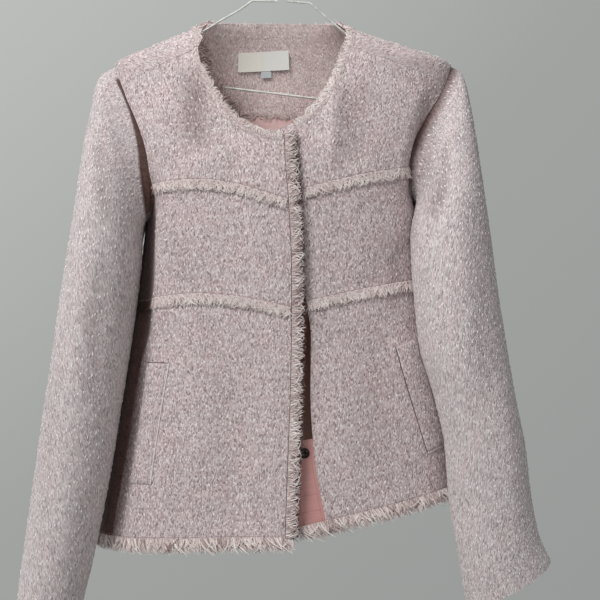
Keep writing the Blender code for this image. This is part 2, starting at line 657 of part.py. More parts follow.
def make_welts():
    rows, columns = WELT_STEPS
    share = np.linspace(0, 1, rows + 1)[:, None]
    across = np.linspace(-0.5, 0.5, columns + 1)[None, :]
    for side, spot in (("right", RIGHT_WELT), ("left", LEFT_WELT)):
        x = spot.foot_x + (spot.top_x - spot.foot_x) * share + across * spot.width
        z = spot.foot_z + (spot.top_z - spot.foot_z) * share + across * spot.width * spot.slant
        grid = locate(x, z, side)
        cloth_piece(f"pocket_welt_{side}", grid, side, TWEED + WELT_GAP, TWEED, "tweed")


def make_stud():
    """A sewn-on press stud: a dished disc on the underlap."""
    place = locate(*STUD_SPOT, "left")
    across = normals(*place, "left")
    base = point(*place, "left") - across * TWEED
    sideways = np.cross((0, 0, 1), across)
    sideways /= np.linalg.norm(sideways)
    upward = np.cross(across, sideways)
    turns = np.linspace(0, 2 * math.pi, STUD_SPOKES, endpoint=False)
    flat = np.cos(turns)[:, None] * sideways + np.sin(turns)[:, None] * upward
    radii, rises = (np.array(column) * MM for column in zip(*STUD_RINGS))
    circles = base + flat * radii[:, None, None] + across * rises[:, None, None]
    ends = base + across * rises[[0, -1], None]
    index = np.arange(circles.size // 3).reshape(len(STUD_RINGS), STUD_SPOKES)
    turned = np.roll(index, -1, axis=1)
    bottom = np.full(STUD_SPOKES, index.size)
    skins = [
        np.stack([index[:-1], turned[:-1], turned[1:]], axis=-1).reshape(-1, 3),
        np.stack([index[:-1], turned[1:], index[1:]], axis=-1).reshape(-1, 3),
        np.stack([bottom, turned[0], index[0]], axis=1),
        np.stack([bottom + 1, index[-1], turned[-1]], axis=1),
    ]
    points = np.concatenate([circles.reshape(-1, 3), ends])
    add_piece("press_stud", points, np.concatenate(skins), "stud")


def armhole_loop(hand):
    """(turn, level) round the armhole from the shoulder's ridge down the front and up the back."""
    front = np.concatenate([over_shoulder_shares()[:-1], front_armhole_shares()[::-1]])
    ahead = armhole(hand, front)
    behind = armhole(hand, back_armhole_shares()[1:-1], behind=True)
    return np.concatenate([ahead, behind])


def beside_body(ring, hand, clear):
    """The ring's points, moved sideways where the sleeve would press into the body."""
    levels = np.arange(len(BODY_ROWS))
    level = np.interp(ring[:, 2], TABLE["z_right" if hand < 0 else "z_left"], levels)
    half_width = body("right" if hand < 0 else "left", level)
    seam_y, power = body("side", level), body("power", level)
    depth = np.where(ring[:, 1] < seam_y, body("front", level), body("back", level))
    share = np.clip((ring[:, 1] - seam_y) / (depth - seam_y), 0, 1)
    reach = half_width * (1 - share ** (2 / power)) ** (power / 2)
    moved = ring.copy()
    moved[:, 0] = hand * np.maximum(hand * ring[:, 0], reach + clear)
    return moved


def sleeve_rings(hand, rows):
    """Rings of points from the armhole to the cuff, and the armhole's own inner ring."""
    loop = inset(armhole_loop(hand), hand * SEAM / 2, "back")
    start = point(loop[:, 0], loop[:, 1], "back")
    outward = normals(loop[:, 0], loop[:, 1], "back")
    closed = np.concatenate([start, start[:1]])
    lengths = np.concatenate([[0], np.cumsum(np.linalg.norm(np.diff(closed, axis=0), axis=1))])
    foot = len(front_armhole_shares()) + OVER_SHOULDER_ROWS - 1
    front_part = lengths[:-1] / lengths[foot] * math.pi
    back_part = math.pi + (lengths[:-1] - lengths[foot]) / (lengths[-1] - lengths[foot]) * math.pi
    angle = np.where(np.arange(len(loop)) <= foot, front_part, back_part)
    rings = []
    for row in rows:
        outer = np.array([row.outer_x, row.centre_y, row.outer_z]) * MM
        inner = np.array([row.inner_x, row.centre_y, row.inner_z]) * MM
        sideways = np.cos(angle)[:, None] * (outer - inner) / 2
        deep = np.sin(angle)[:, None] * np.array([0, -row.half_depth * MM, 0])
        rings.append((outer + inner) / 2 + sideways + deep)
    own_bow = start - rings[0]
    shaped = [
        beside_body(ring + own_bow * row.hold, hand, SLEEVE_CLEAR * (1 - row.hold))
        for ring, row in zip(rings, rows)
    ]
    return np.array([start] + shaped[1:]), outward


def tube_normals(rings):
    """Outward normals of a tube's rings, from differences along and around it."""
    along = np.gradient(rings, axis=0)
    around = np.roll(rings, -1, axis=1) - np.roll(rings, 1, axis=1)
    across = np.cross(along, around)
    across /= np.linalg.norm(across, axis=-1, keepdims=True)
    outward = rings - rings.mean(axis=1, keepdims=True)
    sign = np.sign(np.einsum("rci,rci->rc", across, outward).sum(axis=1))
    return across * sign[:, None, None]


def make_sleeves():
    for hand, side, rows in ((-1, "right", RIGHT_SLEEVE_ROWS), (1, "left", LEFT_SLEEVE_ROWS)):
        rings, seam_normals = sleeve_rings(hand, rows)
        across = tube_normals(rings)
        across[0] = seam_normals
        points, faces = solid(rings, rings - across * TWEED, around=True)
        add_piece(f"{side}_sleeve", points, faces, "tweed")


def wire_tube(name, path, sides=WIRE_SIDES):
    """A round wire along a path of points."""
    curve = bpy.data.curves.new(name, "CURVE")
    curve.dimensions = "3D"
    curve.bevel_depth = WIRE
    curve.bevel_resolution = (sides - 4) // 2
    curve.use_fill_caps = True
    spline = curve.splines.new("POLY")
    spline.points.add(len(path) - 1)
    flat = np.zeros((len(path), 4))
    flat[:, :3] = path
    flat[:, 3] = 1
    spline.points.foreach_set("co", flat.ravel())
    curve.materials.append(material("wire"))
    bpy.context.scene.collection.objects.link(bpy.data.objects.new(name, curve))


def rounded(corners, radius, steps=4):
    """Places along straight runs between (x, z) corners, each corner an arc of the radius."""
    path = [corners[0]]
    for before, corner, after in zip(corners, corners[1:], corners[2:]):
        back, ahead = before - corner, after - corner
        back_length, ahead_length = np.linalg.norm(back), np.linalg.norm(ahead)
        back, ahead = back / back_length, ahead / ahead_length
        half = math.acos(float(np.clip(back @ ahead, -1, 1))) / 2
        reach = min(radius / math.tan(half), back_length * 0.49, ahead_length * 0.49)
        centre = corner + (back + ahead) / np.linalg.norm(back + ahead) * reach / math.cos(half)
        first, last = corner + back * reach - centre, corner + ahead * reach - centre
        for step in range(steps + 1):
            share = step / steps
            mixed = first * (1 - share) + last * share
            path.append(centre + mixed / np.linalg.norm(mixed) * np.linalg.norm(first))
    path.append(corners[-1])
    return path


# The hanger's wires as (x, z) places, in millimetres.
NECK_FOOT = (-3, -64)
HOOK_STEM_TOP = (-0.7, -45)
RIGHT_ARM = ((-8, -68.4), (-36, -67.8), (-51, -78.5), (-71, -89.8), (-90, -101.5), (-180, -148.5))
LEFT_ARM = ((2.5, -68.4), (28, -70.4), (48.5, -88.5), (166, -187))
BAR = ((-174, -151.0), (160.5, -191.4))
ARM_BEND = 8 * MM
HOOK_START = math.radians(-48)
HOOK_END = math.radians(205)
HOOK_STEPS = 26
STEM_PULL = 7 * MM  # how far the stem and the hook draw out the bend between them
HOOK_PULL = 8 * MM
STEM_BEND_STEPS = 7
TWIST_ROUNDS = 4
TWIST_RISE = 14 * MM
TWIST_STEPS = 40
TWIST_RADIUS = 2 * WIRE + 0.4 * MM
TWIST_START = 0.12  # share of the stem below the twist


def in_plane(path):
    """(x, z) places as points in the hanger's own plane."""
    return np.insert(np.asarray(path, float), 1, 0, axis=1)


def make_hook(stem, lean):
    """The hook's arc, led in from the stem by a smooth bend."""
    turns = np.linspace(HOOK_START, HOOK_END, HOOK_STEPS)
    arc = np.stack([np.cos(turns), np.sin(turns)], axis=1) * (HOOK_RADIUS + WIRE)
    arc = arc - np.array([0, HOOK_RADIUS])
    heading = np.array([-math.sin(HOOK_START), math.cos(HOOK_START)])
    leave, arrive = stem[1] + lean * STEM_PULL, arc[0] - heading * HOOK_PULL
    share = np.linspace(0, 1, STEM_BEND_STEPS + 1)[1:-1, None]
    bend = (1 - share) ** 3 * stem[1] + 3 * share * (1 - share) ** 2 * leave
    bend = bend + 3 * share**2 * (1 - share) * arrive + share**3 * arc[0]
    wire_tube("hanger_hook", in_plane(np.concatenate([stem, bend, arc])))


def make_twist(stem, lean):
    """The wire's end, wound round the foot of the stem."""
    turn = np.linspace(0, TWIST_ROUNDS * 2 * math.pi, TWIST_STEPS + 1)
    along = np.linspace(0, TWIST_RISE, TWIST_STEPS + 1)
    foot = stem[0] + (stem[1] - stem[0]) * TWIST_START
    sideways = TWIST_RADIUS * np.cos(turn)
    x = foot[0] + lean[0] * along + sideways * lean[1]
    z = foot[1] + lean[1] * along - sideways * lean[0]
    path = np.stack([x, TWIST_RADIUS * np.sin(turn), z], axis=1)
    wire_tube("hanger_twist", path, sides=6)


def make_hanger():
    stem = np.array([NECK_FOOT, HOOK_STEM_TOP]) * MM
    lean = (stem[1] - stem[0]) / np.linalg.norm(stem[1] - stem[0])
    make_hook(stem, lean)
    make_twist(stem, lean)
    wire_tube("hanger_arm_right", in_plane(rounded(np.array(RIGHT_ARM) * MM, ARM_BEND)))
    wire_tube("hanger_arm_left", in_plane(rounded(np.array(LEFT_ARM) * MM, ARM_BEND)))
    wire_tube("hanger_bar", in_plane(np.array(BAR) * MM))


def clear_scene():
    for thing in list(bpy.data.objects):
        bpy.data.objects.remove(thing, do_unlink=True)


def main():
    clear_scene()
    make_fronts()
    make_back()
    make_labels()
    make_underlap()
    make_welts()
    make_stud()
    make_sleeves()
    make_hanger()


main()
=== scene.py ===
"""Looks of a cropped tweed jacket with frayed trims, which hangs on a tilted wire hanger.

Metres, +Z up, the front faces -Y, and sides are the wearer's: right is -X. The origin is the top of
the hook's inner curve. A place on the body is (turn, level): turn runs from 0 at the centre front to
-1 and +1 at the side seams and on to -2 and +2 at the centre back, and level counts the rows of
BODY_ROWS from the fringe's tip upwards. Each panel is a fine patch of (turn, level) with soft creases,
and trims, welts and yarns are set on the same creased cloth.
"""

import logging
import math
from dataclasses import dataclass, fields, replace
from enum import Enum
from typing import Any, ClassVar, Optional, Sequence

import bpy
import numpy as np
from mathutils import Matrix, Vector
from numpy.typing import NDArray

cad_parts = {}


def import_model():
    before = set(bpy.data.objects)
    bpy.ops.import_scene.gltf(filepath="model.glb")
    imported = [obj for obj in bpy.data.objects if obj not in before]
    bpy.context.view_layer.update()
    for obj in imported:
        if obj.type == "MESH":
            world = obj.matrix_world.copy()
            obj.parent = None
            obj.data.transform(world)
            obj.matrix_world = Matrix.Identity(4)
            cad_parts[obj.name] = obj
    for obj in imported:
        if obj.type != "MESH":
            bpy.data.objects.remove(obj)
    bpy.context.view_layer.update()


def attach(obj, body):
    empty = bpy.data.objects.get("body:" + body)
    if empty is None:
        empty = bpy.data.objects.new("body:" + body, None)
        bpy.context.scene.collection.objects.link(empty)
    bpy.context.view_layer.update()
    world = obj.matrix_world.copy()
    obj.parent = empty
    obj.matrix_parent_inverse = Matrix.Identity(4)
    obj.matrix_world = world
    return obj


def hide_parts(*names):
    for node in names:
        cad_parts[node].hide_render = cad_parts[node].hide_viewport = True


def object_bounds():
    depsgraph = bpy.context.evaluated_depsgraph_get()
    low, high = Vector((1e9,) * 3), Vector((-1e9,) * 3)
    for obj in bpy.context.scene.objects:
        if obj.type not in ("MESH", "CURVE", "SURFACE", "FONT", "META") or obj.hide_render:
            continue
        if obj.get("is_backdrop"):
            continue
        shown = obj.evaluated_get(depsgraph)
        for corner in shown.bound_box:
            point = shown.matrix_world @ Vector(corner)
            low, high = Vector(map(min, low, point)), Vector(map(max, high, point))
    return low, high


Array = NDArray[Any]
Triple = tuple[float, float, float]
Tree = bpy.types.NodeTree
Node = bpy.types.Node
Stops = tuple[tuple[float, str], ...]

MM = 0.001
TWEED_WALL = 2.0 * MM
SATIN_WALL = 1.0 * MM
SEAM_GAP = 0.3 * MM
CLEAR = 0.5 * MM
BODY = "root"
CLOTH_UV = "cloth"
TONE = "tone"
STITCH = 0.22 * MM  # radius of a sewing thread
SLANTED = np.array([0.31, 0.87, -0.38])  # a way that no yarn or wire runs in
CLOTH_SHARP = 50.0  # degrees between two faces of cloth above which their edge is sharp
FULL_ROUND = np.array([4.0, 0.0])  # turns -2 and +2 are one line, and the back counts on past it

LOG = logging.getLogger("jacket")


# ---- Numbers and lines -----------------------------------


def smooth(values: Array, at: Array) -> Array:
    """Reads a table between its rows.

    A cubic runs through each column, with flat tangents at its peaks, so that it never overshoots.

    Args:
        values: The table, a row for each whole number.
        at: Fractional row numbers.

    Returns:
        A row of values for each number in at.
    """
    steps = np.diff(values, axis=0)
    before, after = steps[:-1], steps[1:]
    total = np.where(np.abs(before + after) > 1e-12, before + after, 1.0)
    inner = np.where(before * after > 0, 2 * before * after / total, 0.0)
    slopes = np.concatenate([steps[:1], inner, steps[-1:]])
    at = np.asarray(at, float)
    row = np.clip(np.floor(at).astype(int), 0, len(values) - 2)
    t = (at - row).reshape(at.shape + (1,) * (values.ndim - 1))
    return (
        values[row] * (1 + 2 * t) * (1 - t) ** 2
        + slopes[row] * t * (1 - t) ** 2
        + values[row + 1] * t * t * (3 - 2 * t)
        + slopes[row + 1] * t * t * (t - 1)
    )


def smoothstep(value: Array) -> Array:
    """A value's share of 0 to 1, eased at both ends as 3 t^2 - 2 t^3."""
    value = np.clip(value, 0, 1)
    return value * value * (3 - 2 * value)


def lengths_along(track: Array) -> Array:
    """The length from the first point of a line of points to each of them."""
    return np.concatenate([[0], np.cumsum(np.linalg.norm(np.diff(track, axis=0), axis=1))])


def ruled(starts: Array, ends: Array, steps: int) -> Array:
    """Rows of places, each running straight from its start to its end."""
    share = np.linspace(0, 1, steps + 1)[None, :, None]
    return starts[:, None, :] * (1 - share) + ends[:, None, :] * share


def unit(vectors: Array) -> Array:
    """Vectors made one long, over the last axis."""
    return vectors / np.maximum(np.linalg.norm(vectors, axis=-1, keepdims=True), 1e-12)


def places(turns: Array, levels: Array) -> Array:
    """Places on the body with these turns and levels, either of which may be one number."""
    return np.stack(np.broadcast_arrays(turns, levels), axis=-1).astype(float)


def finer(grid: Array, parts: int) -> Array:
    """A grid of values with each cell cut into equal parts both ways, read in straight lines."""
    for axis in (1, 0):
        at = np.arange((grid.shape[axis] - 1) * parts + 1) / parts
        low = np.minimum(at.astype(int), grid.shape[axis] - 2)
        share = (at - low).reshape((-1, 1) if axis else (-1, 1, 1))
        grid = np.take(grid, low, axis) * (1 - share) + np.take(grid, low + 1, axis) * share
    return grid


# ---- The body's form -------------------------------------


class Side(Enum):
    """The panel whose heights a place on the body follows."""

    RIGHT = "right"
    LEFT = "left"
    BACK = "back"

    @property
    def hand(self) -> int:
        """-1 on the wearer's right, and +1 elsewhere."""
        return -1 if self is Side.RIGHT else 1


@dataclass(frozen=True)
class BodyRow:
    """One ring section of the body, in millimetres.

    right and left are half-widths, side, front and back are depths, lift raises the front that laps
    over, power shapes the section (1 is an ellipse), the z values are the heights of the side seams
    and of both front edges, bump is the rise midway, and the edges say where the front edges lie.
    """

    name: str
    right: float
    left: float
    side: float
    front: float
    back: float
    lift: float
    power: float
    z_right: float
    z_right_edge: float
    z_left_edge: float
    z_left: float
    bump: float
    edge_right: float
    edge_left: float


BODY_ROWS = tuple(BodyRow(*row) for row in (
    ("fringe", 207, 192, 15, -74, 80, 9, 0.72, -668, -659, -654, -612, 0, 8.5, 43),
    ("hem", 206, 190, 15, -72, 78, 9, 0.72, -655, -645, -640, -598, 0, 8.5, 42),
    ("hip", 194, 185, 15, -68, 72, 8, 0.72, -583, -575, -568, -532, 0, 11, 31),
    ("low_waist", 181, 172, 15, -64, 66, 8, 0.72, -508, -503, -498, -466, 2, 13.5, 27),
    ("pocket", 174, 157, 15, -62, 64, 8, 0.72, -455, -452, -447, -417, 6, 14.3, 27),
    ("waist", 166, 150, 15, -62, 64, 7, 0.72, -401, -404, -405, -375, 11, 14.8, 22),
    ("ribs", 159, 146, 14, -63, 66, 7, 0.72, -343, -350, -348, -318, 11, 14.5, 13),
    ("underarm", 155, 144, 12, -64, 68, 6, 0.72, -302, -318, -313, -281, 12, 13.3, 6),
    ("chest", 158, 147, 10, -64, 68, 6, 0.74, -276, -292, -287, -253, 12, 11.8, 0),
    ("yoke", 165, 156, 7, -61, 66, 5, 0.78, -238, -250, -246, -226, 7, 8.5, -5),
    ("neck_base", 174, 168, 4, -56, 62, 4, 0.84, -206, -221, -217, -200, 3, 7.5, -5),
    ("collarbone", 182, 178, 2, -50, 57, 2, 0.92, -178, -184, -182, -175, 0, 7.5, -5),
    ("shoulder", 188, 184, 0, -40, 49, 0, 1.0, -142, -142, -141, -141, 0, 7.5, -5),
    ("slope", 143, 123, 0, -31, 40, 0, 1.0, -117, -117, -116, -116, 0, 7.5, -5),
    ("neck_point", 94, 66, 0, -22, 30, 0, 1.0, -96, -96, -96, -96, 0, 7.5, -5),
    ("nape", 79, 51, 4, -18, 26, 0, 1.0, -86, -86, -85, -85, 0, 7.5, -5),
))


@dataclass(frozen=True)
class Crease:
    """A soft trough or ridge between two places, in millimetres as (x, z) seen from the front.

    depth is how far it stands out, and a negative depth sinks in. bow bends it sideways.
    """

    start: tuple[float, float]
    end: tuple[float, float]
    width: float
    depth: float
    bow: float = 0.0

    def rise(self, x: Array, z: Array) -> Array:
        """How far the cloth stands out at (x, z), in metres.

        The share t along the line fades the crease at both ends as 1 - |2t - 1|^3, and the distance
        d from the bowed line shapes it across as exp(-(d / width)^2).

        Args:
            x: Places across, in metres.
            z: Heights, in metres.

        Returns:
            The rise at each place.
        """
        start, end = np.array(self.start) * MM, np.array(self.end) * MM
        line = end - start
        length = float(np.linalg.norm(line))
        along = ((x - start[0]) * line[0] + (z - start[1]) * line[1]) / length**2
        sideways = ((x - start[0]) * line[1] - (z - start[1]) * line[0]) / length
        bowed = sideways - self.bow * MM * 4 * along * (1 - along)
        fade = np.clip(1 - np.abs(2 * np.clip(along, 0, 1) - 1) ** 3, 0, 1)
        past = np.maximum(np.abs(along - 0.5) - 0.5, 0) * length
        distance = np.hypot(bowed, past) / (self.width * MM)
        return self.depth * MM * fade * np.exp(-(distance**2))


LEFT_ARMHOLE_FOLD = Crease((166, -160), (140, -300), 11, -6.0, 6)
FRONT_CREASES = (
    Crease((-143, -262), (-153, -440), 9, -8.0, 2),
    Crease((-150, -400), (-194, -700), 10, -10.0, -3),
    Crease((-131, -262), (-137, -430), 7, 1.6, 2),
    Crease((-93, -146), (-87, -250), 17, -7.0, 3),
    Crease((-128, -165), (-132, -255), 12, 3.0),
    Crease((-50, -240), (-58, -300), 9, -2.0),
    Crease((-34, -232), (-33, -290), 5, 1.0),
    Crease((-28, -560), (-27, -650), 6, 1.2),
    Crease((-92, -430), (-104, -650), 24, 1.8, 5),
    Crease((-62, -450), (-64, -640), 20, -1.8, -4),
    Crease((-120, -330), (-88, -400), 16, -1.6),
    Crease((56, -158), (49, -262), 10, 5.0),
    Crease((84, -170), (78, -262), 15, -3.4, 3),
    Crease((152, -165), (122, -300), 10, 2.6, 6),
    LEFT_ARMHOLE_FOLD,
    Crease((128, -330), (122, -420), 10, -3.0, 3),
    Crease((-139, -571), (-141, -652), 3, -0.9),
    Crease((-135, -415), (-133, -466), 3, -0.8),
    Crease((146, -566), (147, -600), 3, -0.9),
    Crease((84, -420), (104, -610), 22, -2.0, -5),
    Crease((56, -440), (66, -620), 18, 1.8, 3),
    Crease((120, -330), (84, -395), 15, -1.6),
)
BACK_CREASES = tuple(Crease(*row) for row in (
    ((-120, -175), (-92, -335), 15, -6.5, 8),
    ((-78, -190), (-62, -325), 14, 5.0, 3),
    ((112, -170), (84, -330), 14, -6.0, -7),
    ((66, -200), (58, -335), 13, 4.6, -2),
    ((-20, -370), (-40, -650), 22, 6.0, 7),
    ((34, -390), (58, -630), 19, -6.0, -6),
    ((-98, -410), (-126, -660), 18, -5.4, 5),
    ((112, -390), (134, -600), 17, 5.0, -5),
    ((-74, -338), (46, -356), 13, -3.4, 5),
    ((-10, -150), (-6, -300), 20, -3.0, 2),
))


@dataclass(frozen=True)
class TuckedEdge:
    """A line down the cloth past which painted shade darkens it, in millimetres.

    spots are (x, z) from the top down, and beyond is -1 where the shade lies on the line's -X side
    and +1 on its +X side. The painted shade grows from 0 to 1 over softness past the line; on a sleeve
    the cloth also sinks there, turning in under its neighbour.
    """

    spots: tuple[tuple[float, float], ...]
    beyond: int
    softness: float

    def depth(self, x: Array, z: Array) -> Array:
        """How much painted shade the cloth takes beyond the line, from 0 to 1, at (x, z) in metres."""
        line_x, line_z = np.array(self.spots[::-1]).T * MM
        past = self.beyond * (x - np.interp(z, line_z, line_x)) / (self.softness * MM)
        ends = np.minimum(line_z[-1] - z, z - line_z[0]) / (6 * MM)
        return smoothstep(past) * smoothstep(1 + ends)


# Painted shadow on the right front past this line, beside the side seam, where the sleeve shades it.
RIGHT_SIDE_PAINTED_SHADE = TuckedEdge(
    ((-138, -285), (-137, -370), (-143, -436), (-153.5, -470), (-164, -540), (-174, -599),
     (-184, -662)),
    -1, 4.0,
)
# Painted shade on the right sleeve beside the armhole seam, where the cloth also sinks in.
RIGHT_ARMHOLE_SINK_AND_SHADE = TuckedEdge(
    ((-186, -159), (-177.5, -176), (-169.5, -195), (-162.5, -218), (-158, -240.6), (-155, -269.8),
     (-152.5, -291), (-150.5, -323), (-151, -366), (-157, -400)),
    1, 1.8,
)
# Painted shade on the left sleeve beside the armhole seam, where the cloth also sinks in.
LEFT_ARMHOLE_SHADE = TuckedEdge(
    ((203, -141), (181, -186), (164, -219), (153, -245), (146, -283), (143, -330)),
    -1, 20.0
)
FOLD_SHADE = 0.062  # painted shade for each millimetre of a trough's depth


class BodyForm:
    """The body's family of ring sections, as functions of turn and level."""

    lift_width = 70 * MM
    seam_calm = 0.14  # turns beside a side seam over which the creases fade out
    bump_share = {Side.RIGHT: 1.0, Side.LEFT: 0.15}

    def __init__(self, rows: Sequence[BodyRow]) -> None:
        """Reads the table's columns into arrays, in metres."""
        self.top = len(rows) - 1
        self.level = {row.name: float(index) for index, row in enumerate(rows)}
        self.table = {
            item.name: np.array([getattr(row, item.name) for row in rows], float)
            * (1 if item.name == "power" else MM)
            for item in fields(BodyRow)
            if item.name != "name"
        }

    def column(self, name: str, level: Array) -> Array:
        """A column of the table at fractional levels."""
        return smooth(self.table[name], level)

    def columns(self, level: Array, *names: str) -> list[Array]:
        """Several columns of the table at fractional levels."""
        return [self.column(name, level) for name in names]

    def turn_at(self, x: Array, level: Array) -> Array:
        """The turn on the front whose point lies at x."""
        power, right, left = self.columns(level, "power", "right", "left")
        reach = np.where(np.asarray(x) < 0, right, left)
        angle = np.arcsin(np.clip(np.abs(x) / reach, 0, 1) ** (1 / power))
        share = np.clip(angle / (math.pi / 2), 0, 1 - 1e-9)
        odds = (share / (1 - share)) ** power
        return np.sign(x) * odds / (1 + odds)

    def height(self, x: Array, turn: Array, level: Array, side: Side) -> Array:
        """z at x. The front follows its own edge's height, and the back runs straight across.

        Args:
            x: Places across, in metres.
            turn: Their turns.
            level: Their levels.
            side: The panel that they belong to.

        Returns:
            The heights.
        """
        right, left, z_right, z_left = self.columns(level, "right", "left", "z_right", "z_left")
        back = z_right + (z_left - z_right) * (x + right) / (right + left)
        if side is Side.BACK:
            edges = sum(self.columns(level, "z_right_edge", "z_left_edge"))
            front = back + (edges - z_right - z_left) / 2 * np.clip(1 - np.abs(turn), 0, 1)
        else:
            edge, bump = self.columns(level, f"z_{side.value}_edge", "bump")
            end, share = (z_right, -x / right) if side is Side.RIGHT else (z_left, x / left)
            rise = bump * self.bump_share[side] * np.sin(math.pi * share)
            front = edge + (end - edge) * share + rise
        return np.where(np.abs(turn) <= 1, front, back)

    def point(self, turn: Array, level: Array, side: Side) -> Array:
        """The smooth form's point at (turn, level).

        A ring is x = a s |s|^(n-1), y = b |c|^n about the side seams' depth, where s and c are the
        sine and cosine of the turn's angle, and n is the section's power.

        Args:
            turn: Turns, which may count on past the centre back.
            level: Levels.
            side: The panel whose heights they follow.

        Returns:
            Points, with x, y and z last.
        """
        turn, level = np.broadcast_arrays(np.asarray(turn, float), np.asarray(level, float))
        turn = np.where(turn > 2, turn - 4, turn)
        power, right, left = self.columns(level, "power", "right", "left")
        front, back, middle = self.columns(level, "front", "back", "side")
        quarter = np.floor(turn)
        rise, fall = (turn - quarter) ** (1 / power), (1 - turn + quarter) ** (1 / power)
        angle = (quarter + rise / (rise + fall)) * math.pi / 2
        sine, cosine = np.sin(angle), np.cos(angle)
        reach = (right + left) / 2 + (left - right) / 2 * sine
        x = reach * np.sign(sine) * np.abs(sine) ** power
        depth = np.where(cosine >= 0, front, back)
        y = middle + (depth - middle) * np.abs(cosine) ** power
        z = self.height(x, turn, level, side)
        if side is Side.RIGHT:
            lift = self.column("lift", level) * smoothstep(1 + x / self.lift_width)
            y = y - lift * (np.abs(turn) < 1)
        return np.stack([x, y, z], axis=-1)

    def slopes(self, turn: Array, level: Array, side: Side) -> tuple[Array, Array]:
        """The form's change for a unit of turn and of level, by small differences."""
        step = 1e-3
        by_turn = self.point(turn + step, level, side) - self.point(turn - step, level, side)
        by_level = self.point(turn, level + step, side) - self.point(turn, level - step, side)
        return by_turn / (2 * step), by_level / (2 * step)

    def normal(self, turn: Array, level: Array, side: Side) -> Array:
        """The outward normal, which is across both slopes."""
        return unit(np.cross(*self.slopes(turn, level, side)))

    def relief(self, centre: Array, turn: Array) -> Array:
        """How far the creases stand out at points of the form, calmed beside the side seams."""
        x, z = centre[..., 0], centre[..., 2]
        front = sum(crease.rise(x, z) for crease in FRONT_CREASES)
        back = sum(crease.rise(x, z) for crease in BACK_CREASES)
        round_to = np.abs(np.where(turn > 2, turn - 4, turn))
        calm = smoothstep(np.abs(1 - round_to) / self.seam_calm)
        return np.where(round_to < 1, front, back) * calm

    def cloth(self, grid: Array, side: Side, out: float | Array = 0.0) -> tuple[Array, Array]:
        """Points on the creased cloth, and its normals.

        Args:
            grid: Places, with turn and level last.
            side: The panel that they belong to.
            out: How far beyond the cloth's outer face the points lie.

        Returns:
            The points and the outward normals.
        """
        turn, level = grid[..., 0], grid[..., 1]
        centre, across = self.point(turn, level, side), self.normal(turn, level, side)
        rise = self.relief(centre, turn) + out
        return centre + across * rise[..., None], across

    def locate(self, x: Array, z: Array, side: Side, behind: bool = False) -> Array:
        """(turn, level) of the points seen at x and z, on the front or, behind, on the back."""
        x, z = np.broadcast_arrays(np.asarray(x, float), np.asarray(z, float))
        levels = np.linspace(0, self.top, 600)
        heights = self.column("z_right", levels)
        level = np.interp(z, heights, levels)
        for _ in range(12):
            turn = self.turn_at(x, level)
            if behind:
                turn = np.where(turn < 0, -2 - turn, 2 - turn)
            error = z - self.point(turn, level, side)[..., 2]
            level = np.interp(np.interp(level, levels, heights) + error, heights, levels)
        return np.stack([turn, level], axis=-1)

    def inset(self, line: Array, width: float | Array, side: Side) -> Array:
        """The line of places that lies a width to the left of a line, across the cloth."""
        by_turn, by_level = self.slopes(line[:, 0], line[:, 1], side)
        track = unit(np.gradient(self.point(line[:, 0], line[:, 1], side), axis=0))
        across = np.cross(self.normal(line[:, 0], line[:, 1], side), track)
        across = across * np.broadcast_to(width, len(line))[:, None]
        moves = np.linalg.pinv(np.stack([by_turn, by_level], axis=-1)) @ across[..., None]
        return line + moves[..., 0]

    def evenly(self, line: Array, steps: int, side: Side, start: float = 0, end: float = 0) -> Array:
        """The line in equal lengths of cloth, short by a length at its start and at its end."""
        lengths = lengths_along(self.point(line[:, 0], line[:, 1], side))
        wanted = np.linspace(start, lengths[-1] - end, steps + 1)
        return np.stack([np.interp(wanted, lengths, line[:, axis]) for axis in (0, 1)], axis=1)

    def cloth_lengths(self, grid: Array, side: Side) -> Array:
        """(u, v) in metres: cloth across from the centre front or back, and up from the hem.

        Lengths are summed over a regular lattice of turns and levels and read from it. Those
        across leave out the rise and those up leave out x, so the weave hangs plumb everywhere.

        Args:
            grid: Places, with turn and level last.
            side: The panel that they belong to.

        Returns:
            u and v, last.
        """
        count = 200
        low, high = grid.reshape(-1, 2).min(axis=0), grid.reshape(-1, 2).max(axis=0)
        turns, levels = (np.linspace(low[axis], high[axis], count) for axis in (0, 1))
        lattice = self.point(turns[None, :], levels[:, None], side)
        across = np.zeros((count, count))
        sideways, upwards = np.diff(lattice, axis=1), np.diff(lattice, axis=0)
        across[:, 1:] = np.cumsum(np.linalg.norm(sideways[..., :2], axis=2), axis=1)
        up = np.zeros((count, count))
        up[1:] = np.cumsum(np.linalg.norm(upwards[..., 1:], axis=2), axis=0)
        centre = 2.0 if side is Side.BACK else 0.0
        across -= across[:, [int(np.argmin(np.abs(turns - centre)))]]
        spot = (grid - low) / (high - low) * (count - 1)
        cell = np.clip(np.floor(spot).astype(int), 0, count - 2)
        share = spot - cell
        column, row, s, t = cell[..., 0], cell[..., 1], share[..., 0], share[..., 1]
        return np.stack(
            [
                (field_[row, column] * (1 - s) + field_[row, column + 1] * s) * (1 - t)
                + (field_[row + 1, column] * (1 - s) + field_[row + 1, column + 1] * s) * t
                for field_ in (across, up)
            ],
            axis=-1,
        )


